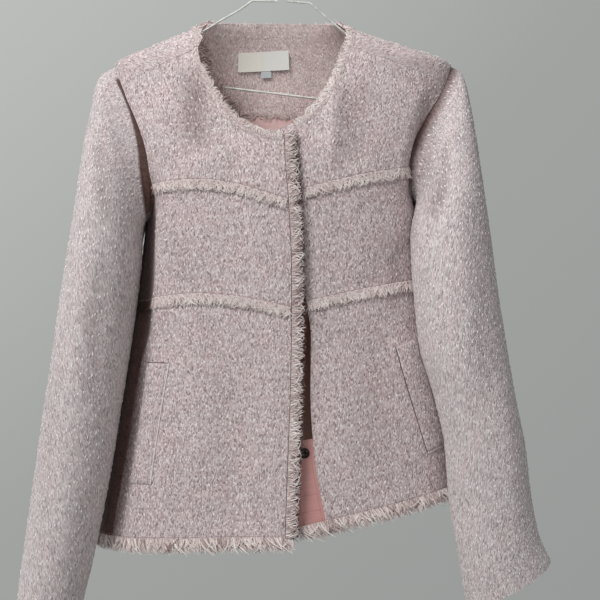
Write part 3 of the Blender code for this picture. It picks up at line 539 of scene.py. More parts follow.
class Outlines:
    """The panels' edges as lines of (turn, level) on the body's form."""

    armhole_bow = {-1: 0.35, 1: 0.325}
    settle_rows = 30  # rows below the armhole's foot over which the columns shift to meet those above
    armhole_bow_back = 0.33
    armhole_lean = 0.76
    shoulder_seam_at = 0.78  # share of the front armhole below the shoulder seam
    neck_centre = -14 * MM
    neck_half_width = 80 * MM
    neck_front_z = {-1: -222 * MM, 1: -219.5 * MM}
    neck_point_z = -96 * MM
    nape_z = -86.5 * MM
    neck_roundness = 1.11
    neck_seam_at = 0.17  # share of the front neckline behind the shoulder seam
    chest_top = 8.6  # the level above which rows turn towards the shoulder seam
    curve_steps = 60

    def __init__(self, form: BodyForm) -> None:
        """Keeps the form and the levels that the outlines turn at."""
        self.form = form
        self.foot = form.level["underarm"] - 0.25
        self.shoulder = form.level["shoulder"]

    def armhole(self, hand: int, share: Array, behind: bool = False) -> Array:
        """Places up the armhole: share 0 is the underarm and 1 the shoulder's ridge."""
        share = np.asarray(share, float)
        level = self.foot + (self.shoulder - self.foot) * (1 - np.cos(math.pi * share)) / 2
        bow = np.sin(math.pi * share**self.armhole_lean)
        front = 1 - self.armhole_bow[hand] * bow
        turn = 1 + self.armhole_bow_back * bow if behind else front
        return np.stack([hand * turn, level], axis=-1)

    def armhole_share(self, level: Array) -> Array:
        """The armhole's share at a level."""
        rise = (np.asarray(level, float) - self.foot) / (self.shoulder - self.foot)
        return np.arccos(1 - 2 * np.clip(rise, 0, 1)) / math.pi

    def neck_front(self, hand: int, share: Array, side: Side) -> Array:
        """Places on the front neckline: share 0 is the neck point and 1 the centre front."""
        angle = np.asarray(share, float) * math.pi / 2
        across = np.cos(angle) ** self.neck_roundness
        x = self.neck_centre + hand * self.neck_half_width * across
        drop = np.sin(angle) ** self.neck_roundness
        z = self.neck_point_z + (self.neck_front_z[hand] - self.neck_point_z) * drop
        return self.form.locate(x, z, side)

    def back_neckline(self, steps: int) -> Array:
        """Places from the left neck point over the nape to the right one, turns counted on."""
        angle = np.linspace(0, math.pi, self.curve_steps)[1:-1]
        x = self.neck_centre + self.neck_half_width * np.cos(angle)
        z = self.neck_point_z + (self.nape_z - self.neck_point_z) * np.sin(angle) ** 0.7
        behind = self.form.locate(x, z, Side.BACK, behind=True)
        behind[behind[:, 0] < 0, 0] += FULL_ROUND[0]
        left = self.neck_front(1, 0, Side.BACK)
        right = self.neck_front(-1, 0, Side.BACK) + FULL_ROUND
        line = np.concatenate([left[None], behind, right[None]])
        return self.form.evenly(line, steps, Side.BACK)

    def whole_back_neckline(self) -> Array:
        """Places from the left shoulder seam round the back of the neck to the right one."""
        shares = np.linspace(self.neck_seam_at, 0, self.curve_steps // 4)[:-1]
        left = self.neck_front(1, shares, Side.BACK)
        right = self.neck_front(-1, shares[::-1], Side.BACK) + FULL_ROUND
        return np.concatenate([left, self.back_neckline(self.curve_steps), right])

    def shoulder_seam(self, hand: int, side: Side, steps: int) -> Array:
        """Places from the armhole to the neckline, straight as seen from the front."""
        start = self.armhole(hand, self.shoulder_seam_at)
        end = self.neck_front(hand, self.neck_seam_at, Side.BACK)
        first, last = (self.form.point(*place, Side.BACK) for place in (start, end))
        line = ruled(first[None], last[None], self.curve_steps)[0]
        seam = self.form.locate(line[:, 0], line[:, 2], side)
        if side is Side.BACK:
            seam[0] = start
        return self.form.evenly(seam, steps, side)

    def corner(self, side: Side) -> tuple[float, Array]:
        """The front neckline's share at the front edge, and the corner's place."""
        hand, form = side.hand, self.form
        shares = np.linspace(0.6, 1.25, 400)
        angle = np.minimum(shares, 1) * math.pi / 2
        x = self.neck_centre + hand * self.neck_half_width * np.cos(angle) ** self.neck_roundness
        beyond = self.neck_centre - hand * (shares - 1) * self.neck_half_width
        x = np.where(shares > 1, beyond, x)
        edge = float(form.column(f"edge_{side.value}", form.level["neck_base"]))
        share = min(float(np.interp(0, hand * (edge - x), shares)), 1.0)
        level = float(self.neck_front(hand, 1.0, side)[1])
        turn = float(form.turn_at(form.column(f"edge_{side.value}", level), level))
        return share, np.array([turn, level])

    def front_edge(self, side: Side, levels: Array) -> Array:
        """Places up the front edge at the given levels."""
        x = self.form.column(f"edge_{side.value}", levels)
        return places(self.form.turn_at(x, levels), levels)

    def front_neckline(self, side: Side, steps: int) -> Array:
        """Places from the front edge's corner round the neckline to the shoulder seam."""
        share, corner = self.corner(side)
        line = self.neck_front(side.hand, np.linspace(share, self.neck_seam_at, steps + 1), side)
        line[0] = corner
        return line

    def front(self, side: Side, rows: tuple[int, int, int], columns: int) -> Array:
        """The front's grid of places, from the side seam to the front edge.

        Args:
            side: Which front.
            rows: How many rows lie below the armhole, beside the chest, and above it.
            columns: How many columns lie across.

        Returns:
            The grid, with turn and level last.
        """
        hand, form = side.hand, self.form
        low, chest, yoke = rows
        seam_levels = np.linspace(form.level["hem"], self.foot, low + 1)
        chest_levels = np.linspace(self.foot, self.chest_top, chest + 1)[1:]
        chest_shares = self.armhole_share(chest_levels)
        yoke_shares = np.linspace(chest_shares[-1], self.shoulder_seam_at, yoke + 1)[1:]
        hole = self.armhole(hand, np.concatenate([chest_shares, yoke_shares]))
        seam = places(hand, seam_levels)
        outer = form.inset(np.concatenate([seam, hole]), hand * SEAM_GAP / 2, side)
        climb = round(yoke * 2 / 7)
        corner = self.corner(side)[1]
        turning = np.linspace(self.chest_top, corner[1], climb + 1)[1:-1]
        edge_levels = np.concatenate([seam_levels, chest_levels, turning])
        neck = self.front_neckline(side, yoke - climb)
        edge = np.concatenate([self.front_edge(side, edge_levels), neck])
        grid = ruled(outer, edge, columns)
        even = np.linspace(0, 1, columns + 1)
        above = (grid[low + 1, :, 0] - outer[low, 0]) / (edge[low, 0] - outer[low, 0])
        above[0] = 0.0
        near = smoothstep(1 - np.arange(low, -1, -1) / self.settle_rows)[:, None]
        share = (even * (1 - near) + above * near)[..., None]
        grid[: low + 1] = grid[: low + 1, :1] * (1 - share) + grid[: low + 1, -1:] * share
        top = form.inset(self.shoulder_seam(hand, side, columns), hand * SEAM_GAP / 2, side)
        weight = np.clip(np.arange(len(grid)) - low - chest, 0, None) / yoke
        return grid + weight[:, None, None] * (top - grid[-1])[None]

    def over_shoulder(self, hand: int, rows: int, columns: int) -> Array:
        """Rows from the shoulder's ridge forward to the shoulder seam.

        Args:
            hand: -1 on the wearer's right, and 1 on the left.
            rows: How many rows lie between the ridge and the seam.
            columns: How many columns lie across.

        Returns:
            The places, each row from the armhole to the neckline.
        """
        form = self.form
        seam = form.inset(self.shoulder_seam(hand, Side.BACK, columns), -hand * SEAM_GAP / 2, Side.BACK)
        neck_point = self.neck_front(hand, 0, Side.BACK)
        levels = np.linspace(self.shoulder, float(neck_point[1]), self.curve_steps)
        crest = places(hand, levels)
        crest[-1] = neck_point
        grid = ruled(form.evenly(crest, columns, Side.BACK), seam, rows).swapaxes(0, 1)
        shares = np.linspace(1, self.shoulder_seam_at, rows + 1)
        hole = form.inset(self.armhole(hand, shares), -hand * SEAM_GAP / 2, Side.BACK)
        shift = (hole - grid[:, 0])[:, None] * np.linspace(1, 0, columns + 1)[None, :, None] ** 4
        grid = grid + shift
        neck_shares = np.linspace(0, self.neck_seam_at, rows + 1)
        neck = self.neck_front(hand, neck_shares, Side.BACK)
        return grid + (neck - grid[:, -1])[:, None] * np.linspace(0, 1, columns + 1)[None, :, None] ** 4

    def back(self, rows: tuple[int, int, int], columns: tuple[int, int]) -> tuple[Array, Array]:
        """The back's grid of places from the left side seam round to the right, and its cells.

        The rows climb to the ridge and the back neckline. The last ones run on over the shoulders
        to the shoulder seams, and between the neck points they hold no cloth.

        Args:
            rows: How many rows lie below the armhole, beside it, and over the shoulders.
            columns: How many columns lie on each shoulder, and between the neck points.

        Returns:
            The grid, with turn and level last, and which cells hold cloth.
        """
        form = self.form
        low, high, over = rows
        shoulder, nape = columns
        levels = np.linspace(form.level["hem"], self.foot, low + 1)[:-1]
        sides = []
        for hand in (-1, 1):
            seam = places(hand, levels)
            hole = self.armhole(hand, np.linspace(0, 1, high + 1), behind=True)
            line = np.concatenate([seam, hole])
            sides.append(form.inset(line, -hand * SEAM_GAP / 2, Side.BACK))
        right, left = sides
        right_over = self.over_shoulder(-1, over, shoulder)[:, ::-1] + FULL_ROUND
        left_over = self.over_shoulder(1, over, shoulder)
        neckline = self.back_neckline(nape)
        top = np.concatenate([left_over[0], neckline[1:-1], right_over[0]])
        grid = ruled(left, right + FULL_ROUND, len(top) - 1)
        weight = np.clip(np.arange(len(grid)) - low, 0, None) / high
        grid = grid + (weight**1.5)[:, None, None] * (top - grid[-1])[None]
        fill = np.broadcast_to(neckline[1:-1], (over, nape - 1, 2))
        rest = np.concatenate([left_over[1:], fill, right_over[1:]], axis=1)
        cells = np.ones((len(grid) - 1 + over, len(top) - 1), bool)
        cells[len(grid) - 1 :, shoulder : shoulder + nape] = False
        return np.concatenate([grid, rest]), cells


# ---- Meshes ----------------------------------------------


@dataclass
class Geometry:
    """Points and faces of a piece, ready for a mesh.

    groups holds arrays of faces, each with one number of corners. uv holds the faces' corners on the
    cloth, tone a number for each point that its finish reads, a yarn's own shade or painted shade,
    and inner marks the faces that take a second material.
    """

    points: Array
    groups: list[Array]
    uv: Optional[Array] = None
    tone: Optional[Array] = None
    inner: Optional[Array] = None

    def outward(self) -> "Geometry":
        """The same shape with its faces turned out, by the volume summed over their triangles."""
        volume = 0.0
        for faces in self.groups:
            first, *rest = self.points[faces].swapaxes(0, 1)
            for second, third in zip(rest, rest[1:]):
                volume += float(np.einsum("ij,ij->i", first, np.cross(second, third)).sum())
        if volume < 0:
            self.groups = [faces[:, ::-1] for faces in self.groups]
            self.uv = None if self.uv is None else self.uv[:, ::-1]
        return self


def joined(parts: Sequence[Geometry]) -> Geometry:
    """Several shapes with tones, and without cloth coordinates, as one."""
    shifts = np.cumsum([0] + [len(part.points) for part in parts])
    groups = [faces + shift for part, shift in zip(parts, shifts) for faces in part.groups]
    points, tones = ([getattr(part, name) for part in parts] for name in ("points", "tone"))
    return Geometry(np.concatenate(points), groups, tone=np.concatenate(tones))


def lattice_faces(index: Array, around: bool = False) -> Array:
    """The four-cornered cells of a grid of point numbers; around joins its last column to its first."""
    after = np.roll(index, -1, axis=-1)
    cells = np.stack([index[..., :-1, :], after[..., :-1, :], after[..., 1:, :], index[..., 1:, :]], -1)
    return cells if around else cells[..., :-1, :]


def cap_faces(index: Array, pole: int) -> Array:
    """Triangles from a pole under the first row of a closed grid, and from the next over its last."""
    first, last = index[0], index[-1]
    low = np.stack([np.full_like(first, pole), np.roll(first, -1), first], axis=1)
    high = np.stack([np.full_like(last, pole + 1), last, np.roll(last, -1)], axis=1)
    return np.concatenate([low, high])


def wall(
    outer: Array, inner: Array, uv: Array, around: bool = False, cells: Optional[Array] = None,
    tone: Optional[Array] = None,
) -> Geometry:
    """A closed wall between two grids of points, its rims on the grid's open edges.

    Args:
        outer: The outer face's points, rows by columns.
        inner: The inner face's points.
        uv: Cloth lengths for each point, with one more column on a tube.
        around: Whether the last column joins the first.
        cells: Which cells hold cloth, or all of them.
        tone: How much painted shade each point takes, from 0 on open cloth to 1 deep in a fold.

    Returns:
        The wall, its inner face marked for a second material.
    """
    rows, columns = outer.shape[:2]
    count = rows * columns
    index = np.arange(count).reshape(rows, columns)
    if around:
        index = np.concatenate([index, index[:, :1]], axis=1)
    place = np.arange(uv.shape[0] * uv.shape[1]).reshape(uv.shape[:2])
    kept = np.ones((rows - 1, index.shape[1] - 1), bool) if cells is None else cells
    skin, skin_uv = (lattice_faces(numbers)[kept] for numbers in (index, place))
    after = np.roll(np.arange(4), -1)
    start, end = skin.ravel(), skin[:, after].ravel()
    lone = ~np.isin(start * count + end, end * count + start)
    start, end = start[lone], end[lone]
    start_uv, end_uv = skin_uv.ravel()[lone], skin_uv[:, after].ravel()[lone]
    rim = np.stack([end, start, start + count, end + count], axis=1)
    rim_uv = np.stack([end_uv, start_uv, start_uv, end_uv], axis=1)
    faces = np.concatenate([skin, skin[:, ::-1] + count, rim])
    corners = np.concatenate([skin_uv, skin_uv[:, ::-1], rim_uv])
    used, faces = np.unique(faces, return_inverse=True)
    points = np.concatenate([outer.reshape(-1, 3), inner.reshape(-1, 3)])[used]
    marks = np.arange(len(corners)) // len(skin) == 1
    depth = np.zeros(count) if tone is None else np.clip(tone, 0, 1).ravel()
    shape = Geometry(points, [faces.reshape(-1, 4)], uv.reshape(-1, 2)[corners])
    shape.tone, shape.inner = np.tile(depth, 2)[used], marks
    return shape.outward()


def tubes(paths: Array, radii: Array, sides: int = 3) -> Geometry:
    """Round tubes along many paths at once, each closed by a flat end.

    A ring stands across its path on two directions: n, across the path and a fixed slanted
    direction, and b, across the path and n. Its points are p + r (n cos a + b sin a).

    Args:
        paths: Points, tubes by steps by 3.
        radii: A radius for each point, tubes by steps.
        sides: Points in a ring.

    Returns:
        The tubes.
    """
    count, steps = paths.shape[:2]
    along = unit(np.gradient(paths, axis=1))
    first = unit(np.cross(along, SLANTED))
    second = np.cross(along, first)
    angle = np.linspace(0, 2 * math.pi, sides, endpoint=False)[:, None]
    ring = first[:, :, None] * np.cos(angle) + second[:, :, None] * np.sin(angle)
    points = paths[:, :, None] + ring * radii[:, :, None, None]
    index = np.arange(count * steps * sides).reshape(count, steps, sides)
    ends = np.concatenate([index[:, 0, ::-1], index[:, -1]])
    return Geometry(points.reshape(-1, 3), [lattice_faces(index, True).reshape(-1, 4), ends])


def thread(line: Array, radius: float, sides: int = 6, tone: float = 0.0) -> Geometry:
    """One round thread along a line of points, in one tone."""
    shape = tubes(line[None], np.full((1, len(line)), radius), sides)
    shape.tone = np.full(len(shape.points), tone)
    return shape


def blobs(centres: Array, frames: Array, sides: int = 4) -> Geometry:
    """Many small closed pods at once, each three rings and two poles of a unit ball.

    Args:
        centres: Places, n by 3.
        frames: Each pod's three half-axes as rows, n by 3 by 3, the long one last.
        sides: Points in a ring.

    Returns:
        The pods.
    """
    angle = np.linspace(0, 2 * math.pi, sides, endpoint=False)
    rings = [
        np.stack([np.cos(angle) * r, np.sin(angle) * r, np.full(sides, h)], axis=1)
        for h, r in ((-0.62, 0.78), (0.0, 1.0), (0.62, 0.78))
    ]
    ball = np.concatenate(rings + [[[0, 0, -1.0], [0, 0, 1.0]]])
    points = centres[:, None] + ball[None] @ frames
    ring = np.arange(3 * sides).reshape(3, sides)
    shift = (np.arange(len(centres)) * len(ball))[:, None, None]
    skin, caps = lattice_faces(ring, True).reshape(-1, 4), cap_faces(ring, 3 * sides)
    groups = [(skin[None] + shift).reshape(-1, 4), (caps[None] + shift).reshape(-1, 3)]
    return Geometry(points.reshape(-1, 3), groups)


def add_piece(
    name: str, shape: Geometry, finish: bpy.types.Material, slot: str, *nodes: str,
    inner: Optional[bpy.types.Material] = None, sharp: float = 80.0,
) -> bpy.types.Object:
    """Makes a mesh object of a shape, and sets it on the jacket's body.

    Args:
        name: The piece's name.
        shape: Its points and faces.
        finish: Its material.
        slot: The piece's material slot; not used.
        *nodes: The CAD nodes that it replaces.
        inner: A second material, for its inner face.
        sharp: Degrees between two faces above which their edge is sharp.

    Returns:
        The new object.
    """
    mesh = bpy.data.meshes.new(name)
    mesh.from_pydata(shape.points.tolist(), [], sum((g.tolist() for g in shape.groups), []))
    if shape.uv is not None:
        mesh.uv_layers.new(name=CLOTH_UV).uv.foreach_set("vector", shape.uv.ravel())
    if shape.tone is not None:
        mesh.attributes.new(TONE, "FLOAT", "POINT").data.foreach_set("value", shape.tone)
    mesh.materials.append(finish)
    if inner is not None:
        mesh.materials.append(inner)
        mesh.polygons.foreach_set("material_index", shape.inner.astype(np.int32))
    mesh.shade_smooth()
    mesh.set_sharp_from_angle(angle=math.radians(sharp))
    piece = bpy.data.objects.new(name, mesh)
    bpy.context.scene.collection.objects.link(piece)
    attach(piece, BODY)
    if nodes:
        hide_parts(*nodes)
    LOG.info("%s: %d faces", name, sum(len(g) for g in shape.groups))
    return piece


# ---- Finishes --------------------------------------------


def linear(colour: str) -> tuple[float, float, float, float]:
    """An sRGB hex colour as linear RGBA."""
    parts = [int(colour[i : i + 2], 16) / 255 for i in (1, 3, 5)]
    red, green, blue = (c / 12.92 if c <= 0.04045 else ((c + 0.055) / 1.055) ** 2.4 for c in parts)
    return red, green, blue, 1.0


def add_node(
    tree: Tree, kind: str, inputs: Optional[dict[Any, Any]] = None, stops: Stops = (), **settings: Any
) -> Node:
    """Adds a node, with its settings and its inputs set or linked.

    Args:
        tree: The material's node tree.
        kind: The node's type, without its ShaderNode prefix.
        inputs: Values, sockets, or nodes for their first output, by input name or number.
        stops: A colour ramp's places and hex colours.
        **settings: The node's own properties.

    Returns:
        The node.
    """
    node = tree.nodes.new(f"ShaderNode{kind}")
    for key, value in settings.items():
        setattr(node, key, value)
    for key, value in (inputs or {}).items():
        value = value.outputs[0] if isinstance(value, Node) else value
        if isinstance(value, bpy.types.NodeSocket):
            tree.links.new(value, node.inputs[key])
        else:
            node.inputs[key].default_value = value
    for number, (place, colour) in enumerate(stops):
        stop = node.color_ramp.elements[number] if number < 2 else node.color_ramp.elements.new(place)
        stop.position = place
        stop.color = linear(colour)
    return node


def painted_fold_shade(tree: Tree, colour: Node, folded: str) -> Node:
    """A colour, darkened by painted shade towards its folded colour as far as the piece's tone says."""
    depth = add_node(tree, "Attribute", attribute_name=TONE).outputs["Fac"]
    shadow = add_node(tree, "ValToRGB", {0: depth}, ((0.0, "#FFFFFF"), (1.0, folded)))
    return add_node(tree, "VectorMath", {0: colour, 1: shadow}, operation="MULTIPLY")


@dataclass(frozen=True)
class Finish:
    """A finish: its name, its nodes, and the shader's values that are the same all over."""

    name: str
    shine: ClassVar[dict[str, float]] = {}

    def nodes(self, tree: Tree) -> tuple[Node, Optional[Node]]:
        """Adds the finish's nodes, and returns its colour and its bump."""
        raise NotImplementedError

    def build(self) -> bpy.types.Material:
        """Makes the material."""
        material = bpy.data.materials.new(self.name)
        material.use_nodes = True
        tree = material.node_tree
        shader = tree.nodes["Principled BSDF"]
        for node, socket in zip(self.nodes(tree), ("Base Color", "Normal")):
            if node is not None:
                tree.links.new(node.outputs[0], shader.inputs[socket])
        for socket, value in self.shine.items():
            shader.inputs[socket].default_value = value
        return material


@dataclass(frozen=True)
class BoucleTweed(Finish):
    """Boucle tweed, woven of looped wool blend yarns.

    Each loop shows as a small fleck of its own yarn's colour, longer up than across, so the cloth
    reads as a fine grey, pink and cream grain with shadows between the loops and no shine.
    """

    ramp: Stops
    warm: str = "#FFFAF9"
    cool: str = "#FAFAF9"
    folded: str = "#71574F"  # painted shade: the colour of cloth deep in a fold, where little light comes
    fleck_mm: tuple[float, float] = (1.1, 2.3)  # one loop across and up
    wander_m: tuple[float, float, float] = (0.9 * MM, 1.8 * MM, 0.0)  # how far loops stray
    patch_mm: float = 30.0  # yarn lots drift in shade over this length
    depth_mm: float = 0.6
    gap: float = 0.82  # how dark the cloth is between loops
    shine = {"Roughness": 0.95, "Specular IOR Level": 0.2, "Sheen Weight": 0.25, "Sheen Roughness": 0.6}

    def nodes(self, tree: Tree) -> tuple[Node, Node]:
        """Adds flecks with gaps between them, the fibres' fuzz, and the lots' drift."""
        uv = add_node(tree, "UVMap", uv_map=CLOTH_UV)
        drift = add_node(tree, "TexNoise", {"Vector": uv, "Scale": 260.0, "Detail": 2.0})
        stray = {0: drift.outputs["Color"], 1: (0.5, 0.5, 0.5)}
        shift = add_node(tree, "VectorMath", stray, operation="SUBTRACT")
        moved = add_node(tree, "VectorMath", {0: shift, 1: self.wander_m, 2: uv}, operation="MULTIPLY_ADD")
        across, up = (1 / (size * MM) for size in self.fleck_mm)
        spread = add_node(tree, "VectorMath", {0: moved, 1: (across, up, 1.0)}, operation="MULTIPLY")
        flecks = add_node(
            tree, "TexVoronoi", {"Vector": spread, "Scale": 1.0, "Randomness": 0.9},
            feature="F1", voronoi_dimensions="2D",
        )
        pick = add_node(tree, "SeparateColor", {0: flecks.outputs["Color"]})
        yarns = add_node(tree, "ValToRGB", {0: pick}, self.ramp)
        edge = {"From Min": 0.25, "From Max": 0.75, "To Min": 1.0, "To Max": self.gap}
        gaps = add_node(tree, "MapRange", {"Value": flecks, **edge})
        fibres = add_node(tree, "TexNoise", {"Vector": uv, "Scale": 1500.0, "Detail": 3.0})
        fuzz = add_node(tree, "MapRange", {"Value": fibres, "To Min": 0.86, "To Max": 1.16})
        shade = add_node(tree, "Math", {0: gaps, 1: fuzz}, operation="MULTIPLY")
        wide = {"Vector": uv, "Scale": 1 / (self.patch_mm * MM), "Detail": 2.0}
        lots = add_node(tree, "TexNoise", wide)
        tint = add_node(tree, "ValToRGB", {0: lots}, ((0.36, self.cool), (0.64, self.warm)))
        tinted = add_node(tree, "VectorMath", {0: yarns, 1: tint}, operation="MULTIPLY")
        lit = add_node(tree, "VectorMath", {0: tinted, "Scale": shade}, operation="SCALE")
        colour = painted_fold_shade(tree, lit, self.folded)
        crown = {"Value": flecks, "From Max": 0.8, "To Min": 1.0, "To Max": 0.0}
        loops = add_node(tree, "MapRange", crown)
        height = add_node(tree, "Math", {0: fibres, 1: 0.5, 2: loops}, operation="MULTIPLY_ADD")
        relief = {"Height": height, "Strength": 0.7, "Distance": self.depth_mm * MM}
        return colour, add_node(tree, "Bump", relief)


@dataclass(frozen=True)
class FrayedYarn(Finish):
    """Loose ends of the tweed's yarns, fluffy and matt.

    Each yarn has its own shade between mauve grey and cream, so that a fringe reads as strands.
    """

    ramp: Stops
    shine = {"Roughness": 0.9, "Specular IOR Level": 0.25, "Sheen Weight": 0.3, "Sheen Roughness": 0.5}

    def nodes(self, tree: Tree) -> tuple[Node, Node]:
        """Adds each yarn's own colour, and the fuzz and bump of its ply."""
        own = add_node(tree, "Attribute", attribute_name=TONE).outputs["Fac"]
        yarns = add_node(tree, "ValToRGB", {0: own}, self.ramp)
        place = add_node(tree, "TexCoord").outputs["Object"]
        ply = add_node(tree, "TexNoise", {"Vector": place, "Scale": 900.0, "Detail": 2.0})
        fuzz = add_node(tree, "MapRange", {"Value": ply, "To Min": 0.8, "To Max": 1.2})
        colour = add_node(tree, "VectorMath", {0: yarns, "Scale": fuzz}, operation="SCALE")
        relief = {"Height": ply, "Strength": 0.6, "Distance": 0.4 * MM}
        return colour, add_node(tree, "Bump", relief)


@dataclass(frozen=True)
class LiningSatin(Finish):
    """Polyester lining satin, which has a soft streaky shine and faint slubs across."""

    name: str = "lining_satin"
    # A pale pink, made paler still to stand in for the light inside the jacket: partly painted light.
    colour: str = "#F8DAD9"
    dark: str = "#F0CDCC"
    folded: str = "#8A7A70"  # painted shade: the colour of satin deep inside the jacket
    threads: tuple[float, float, float] = (60.0, 900.0, 1.0)  # streaks to a metre, up and across
    shine = {"Roughness": 0.42, "Sheen Weight": 0.2}

    def nodes(self, tree: Tree) -> tuple[Node, Node]:
        """Adds the weft's streaks in two shades, and their bump."""
        uv = add_node(tree, "UVMap", uv_map=CLOTH_UV)
        spread = add_node(tree, "VectorMath", {0: uv, 1: self.threads}, operation="MULTIPLY")
        weft = add_node(tree, "TexNoise", {"Vector": spread, "Scale": 1.0, "Detail": 3.0})
        streaks = add_node(tree, "ValToRGB", {0: weft}, ((0.3, self.dark), (0.7, self.colour)))
        colour = painted_fold_shade(tree, streaks, self.folded)
        relief = {"Height": weft, "Strength": 0.3, "Distance": 0.2 * MM}
        return colour, add_node(tree, "Bump", relief)


@dataclass(frozen=True)
class WovenLabel(Finish):
    """Woven damask label tape: a fine ribbed cream ground, a little creamier towards one end."""

    colour: str
    creamier: str
    shine = {"Roughness": 0.55}

    def nodes(self, tree: Tree) -> tuple[Node, Node]:
        """Adds the ground's two shades along the tape, and its ribs."""
        uv = add_node(tree, "UVMap", uv_map=CLOTH_UV)
        part = add_node(tree, "SeparateXYZ", {0: uv})
        ground = add_node(tree, "ValToRGB", {0: part}, ((0.42, self.creamier), (0.55, self.colour)))
        ribbing = {"Vector": uv, "Scale": 30.0, "Distortion": 0.6, "Detail": 1.0}
        ribs = add_node(tree, "TexWave", ribbing, bands_direction="Y").outputs["Fac"]
        relief = {"Height": ribs, "Strength": 0.25, "Distance": 0.15 * MM}
        return ground, add_node(tree, "Bump", relief)


@dataclass(frozen=True)
class Mottled(Finish):
    """A smooth finish that drifts between two shades in soft spots, grain of them to a metre."""

    shades: ClassVar[Stops] = ()
    grain: ClassVar[float] = 1.0
    relief: ClassVar[float] = 0.0

    def nodes(self, tree: Tree) -> tuple[Node, Optional[Node]]:
        """Adds the spots, and where the finish has relief, their bump."""
        place = add_node(tree, "TexCoord").outputs["Object"]
        spots = add_node(tree, "TexNoise", {"Vector": place, "Scale": self.grain, "Detail": 4.0})
        colour = add_node(tree, "ValToRGB", {0: spots}, self.shades)
        if not self.relief:
            return colour, None
        relief = {"Height": spots, "Strength": self.relief, "Distance": 0.2 * MM}
        return colour, add_node(tree, "Bump", relief)


@dataclass(frozen=True)
class CoatedWire(Mottled):
    """Steel wire dipped in white vinyl: smooth, with a soft shine and faint scuffs."""

    name: str = "vinyl_coated_wire"
    shades = ((0.35, "#B9BDB9"), (0.6, "#D8DBD8"))
    grain = 160.0
    relief = 0.15
    shine = {"Roughness": 0.38}


@dataclass(frozen=True)
class OxidisedSteel(Mottled):
    """Stamped press stud steel, blackened: dark, half shiny, with browner worn spots."""

    name: str = "oxidised_steel"
    shades = ((0.45, "#2A2523"), (0.7, "#5B4E46"))
    grain = 500.0
    shine = {"Metallic": 0.9, "Roughness": 0.42}


@dataclass(frozen=True)
class PaintedFloor(Mottled):
    """Matt emulsion paint on a smooth floor, pale grey with a faint mottle."""

    name: str = "matt_floor_paint"
    shades = ((0.4, "#C0C4C1"), (0.6, "#C9CCC9"))
    grain = 6.0
    shine = {"Roughness": 0.8}


FLECK_SHARES = (0.0, 0.14, 0.5, 0.82, 1.0)  # how much of the cloth is darker than each shade
BODY_RAMP = tuple(zip(FLECK_SHARES, ("#98888C", "#BEADB1", "#D6C6CA", "#E5D8DA", "#F6EFF0")))
# The facing is the body's tweed with a lighter ramp, standing in for the light inside the neck: painted
# light.
FACING_PAINTED_LIGHT_RAMP = tuple(zip(FLECK_SHARES, ("#B9A8AB", "#CFC0C1", "#DFD0D1", "#EADCDC", "#F5ECEB")))
SLEEVE_RAMP = tuple(zip(FLECK_SHARES, ("#A79BA0", "#C5B9BE", "#DCD0D5", "#EAE0E4", "#F9F4F6")))
# Its darkest stops give the painted shadow of the dark tufts, of the yarns' roots and of yarns past shade
# lines.
YARN_RAMP = ((0.0, "#4A3733"), (0.1, "#A08A88"), (0.45, "#DFD0CF"), (0.75, "#F0E6E5"), (1.0, "#FAF6F5"))


class Finishes:
    """The jacket's materials, each made once."""

    def __init__(self) -> None:
        """Builds every finish."""
        self.tweed = BoucleTweed("boucle_tweed", BODY_RAMP).build()
        self.sleeve_tweed = BoucleTweed("boucle_tweed_sleeve", SLEEVE_RAMP).build()
        self.facing = BoucleTweed("boucle_tweed_facing_painted_light", FACING_PAINTED_LIGHT_RAMP).build()
        self.slub = FrayedYarn("slub_yarn", ((0.0, "#E8DEE0"), (1.0, "#FBF7F8"))).build()
        self.yarn = FrayedYarn("frayed_yarn", YARN_RAMP).build()
        self.thread = FrayedYarn("sewing_thread", ((0.0, "#5C4A48"), (1.0, "#A08C89"))).build()
        self.pink_thread = FrayedYarn("pink_thread", ((0.0, "#B98182"), (1.0, "#C99192"))).build()
        self.satin = LiningSatin().build()
        self.underlap = LiningSatin("underlap_satin", "#EDB3B0", "#E2A7A5").build()
        # The label's near white is its pale tape made paler still to stand in for the light inside the
        # neck: partly painted light.
        self.label = WovenLabel("woven_label", "#F4F8F5", "#F5F6EE").build()
        self.tab = WovenLabel("woven_size_tab", "#CBD6DA", "#CBD6DA").build()
        self.wire = CoatedWire().build()
        self.stud = OxidisedSteel().build()


@dataclass(frozen=True)
class Bench:
    """What every piece is made on and of: the form, the panels' outlines and the finishes."""

    form: BodyForm
    outlines: Outlines
    finishes: Finishes


# ---- Yarn work -------------------------------------------


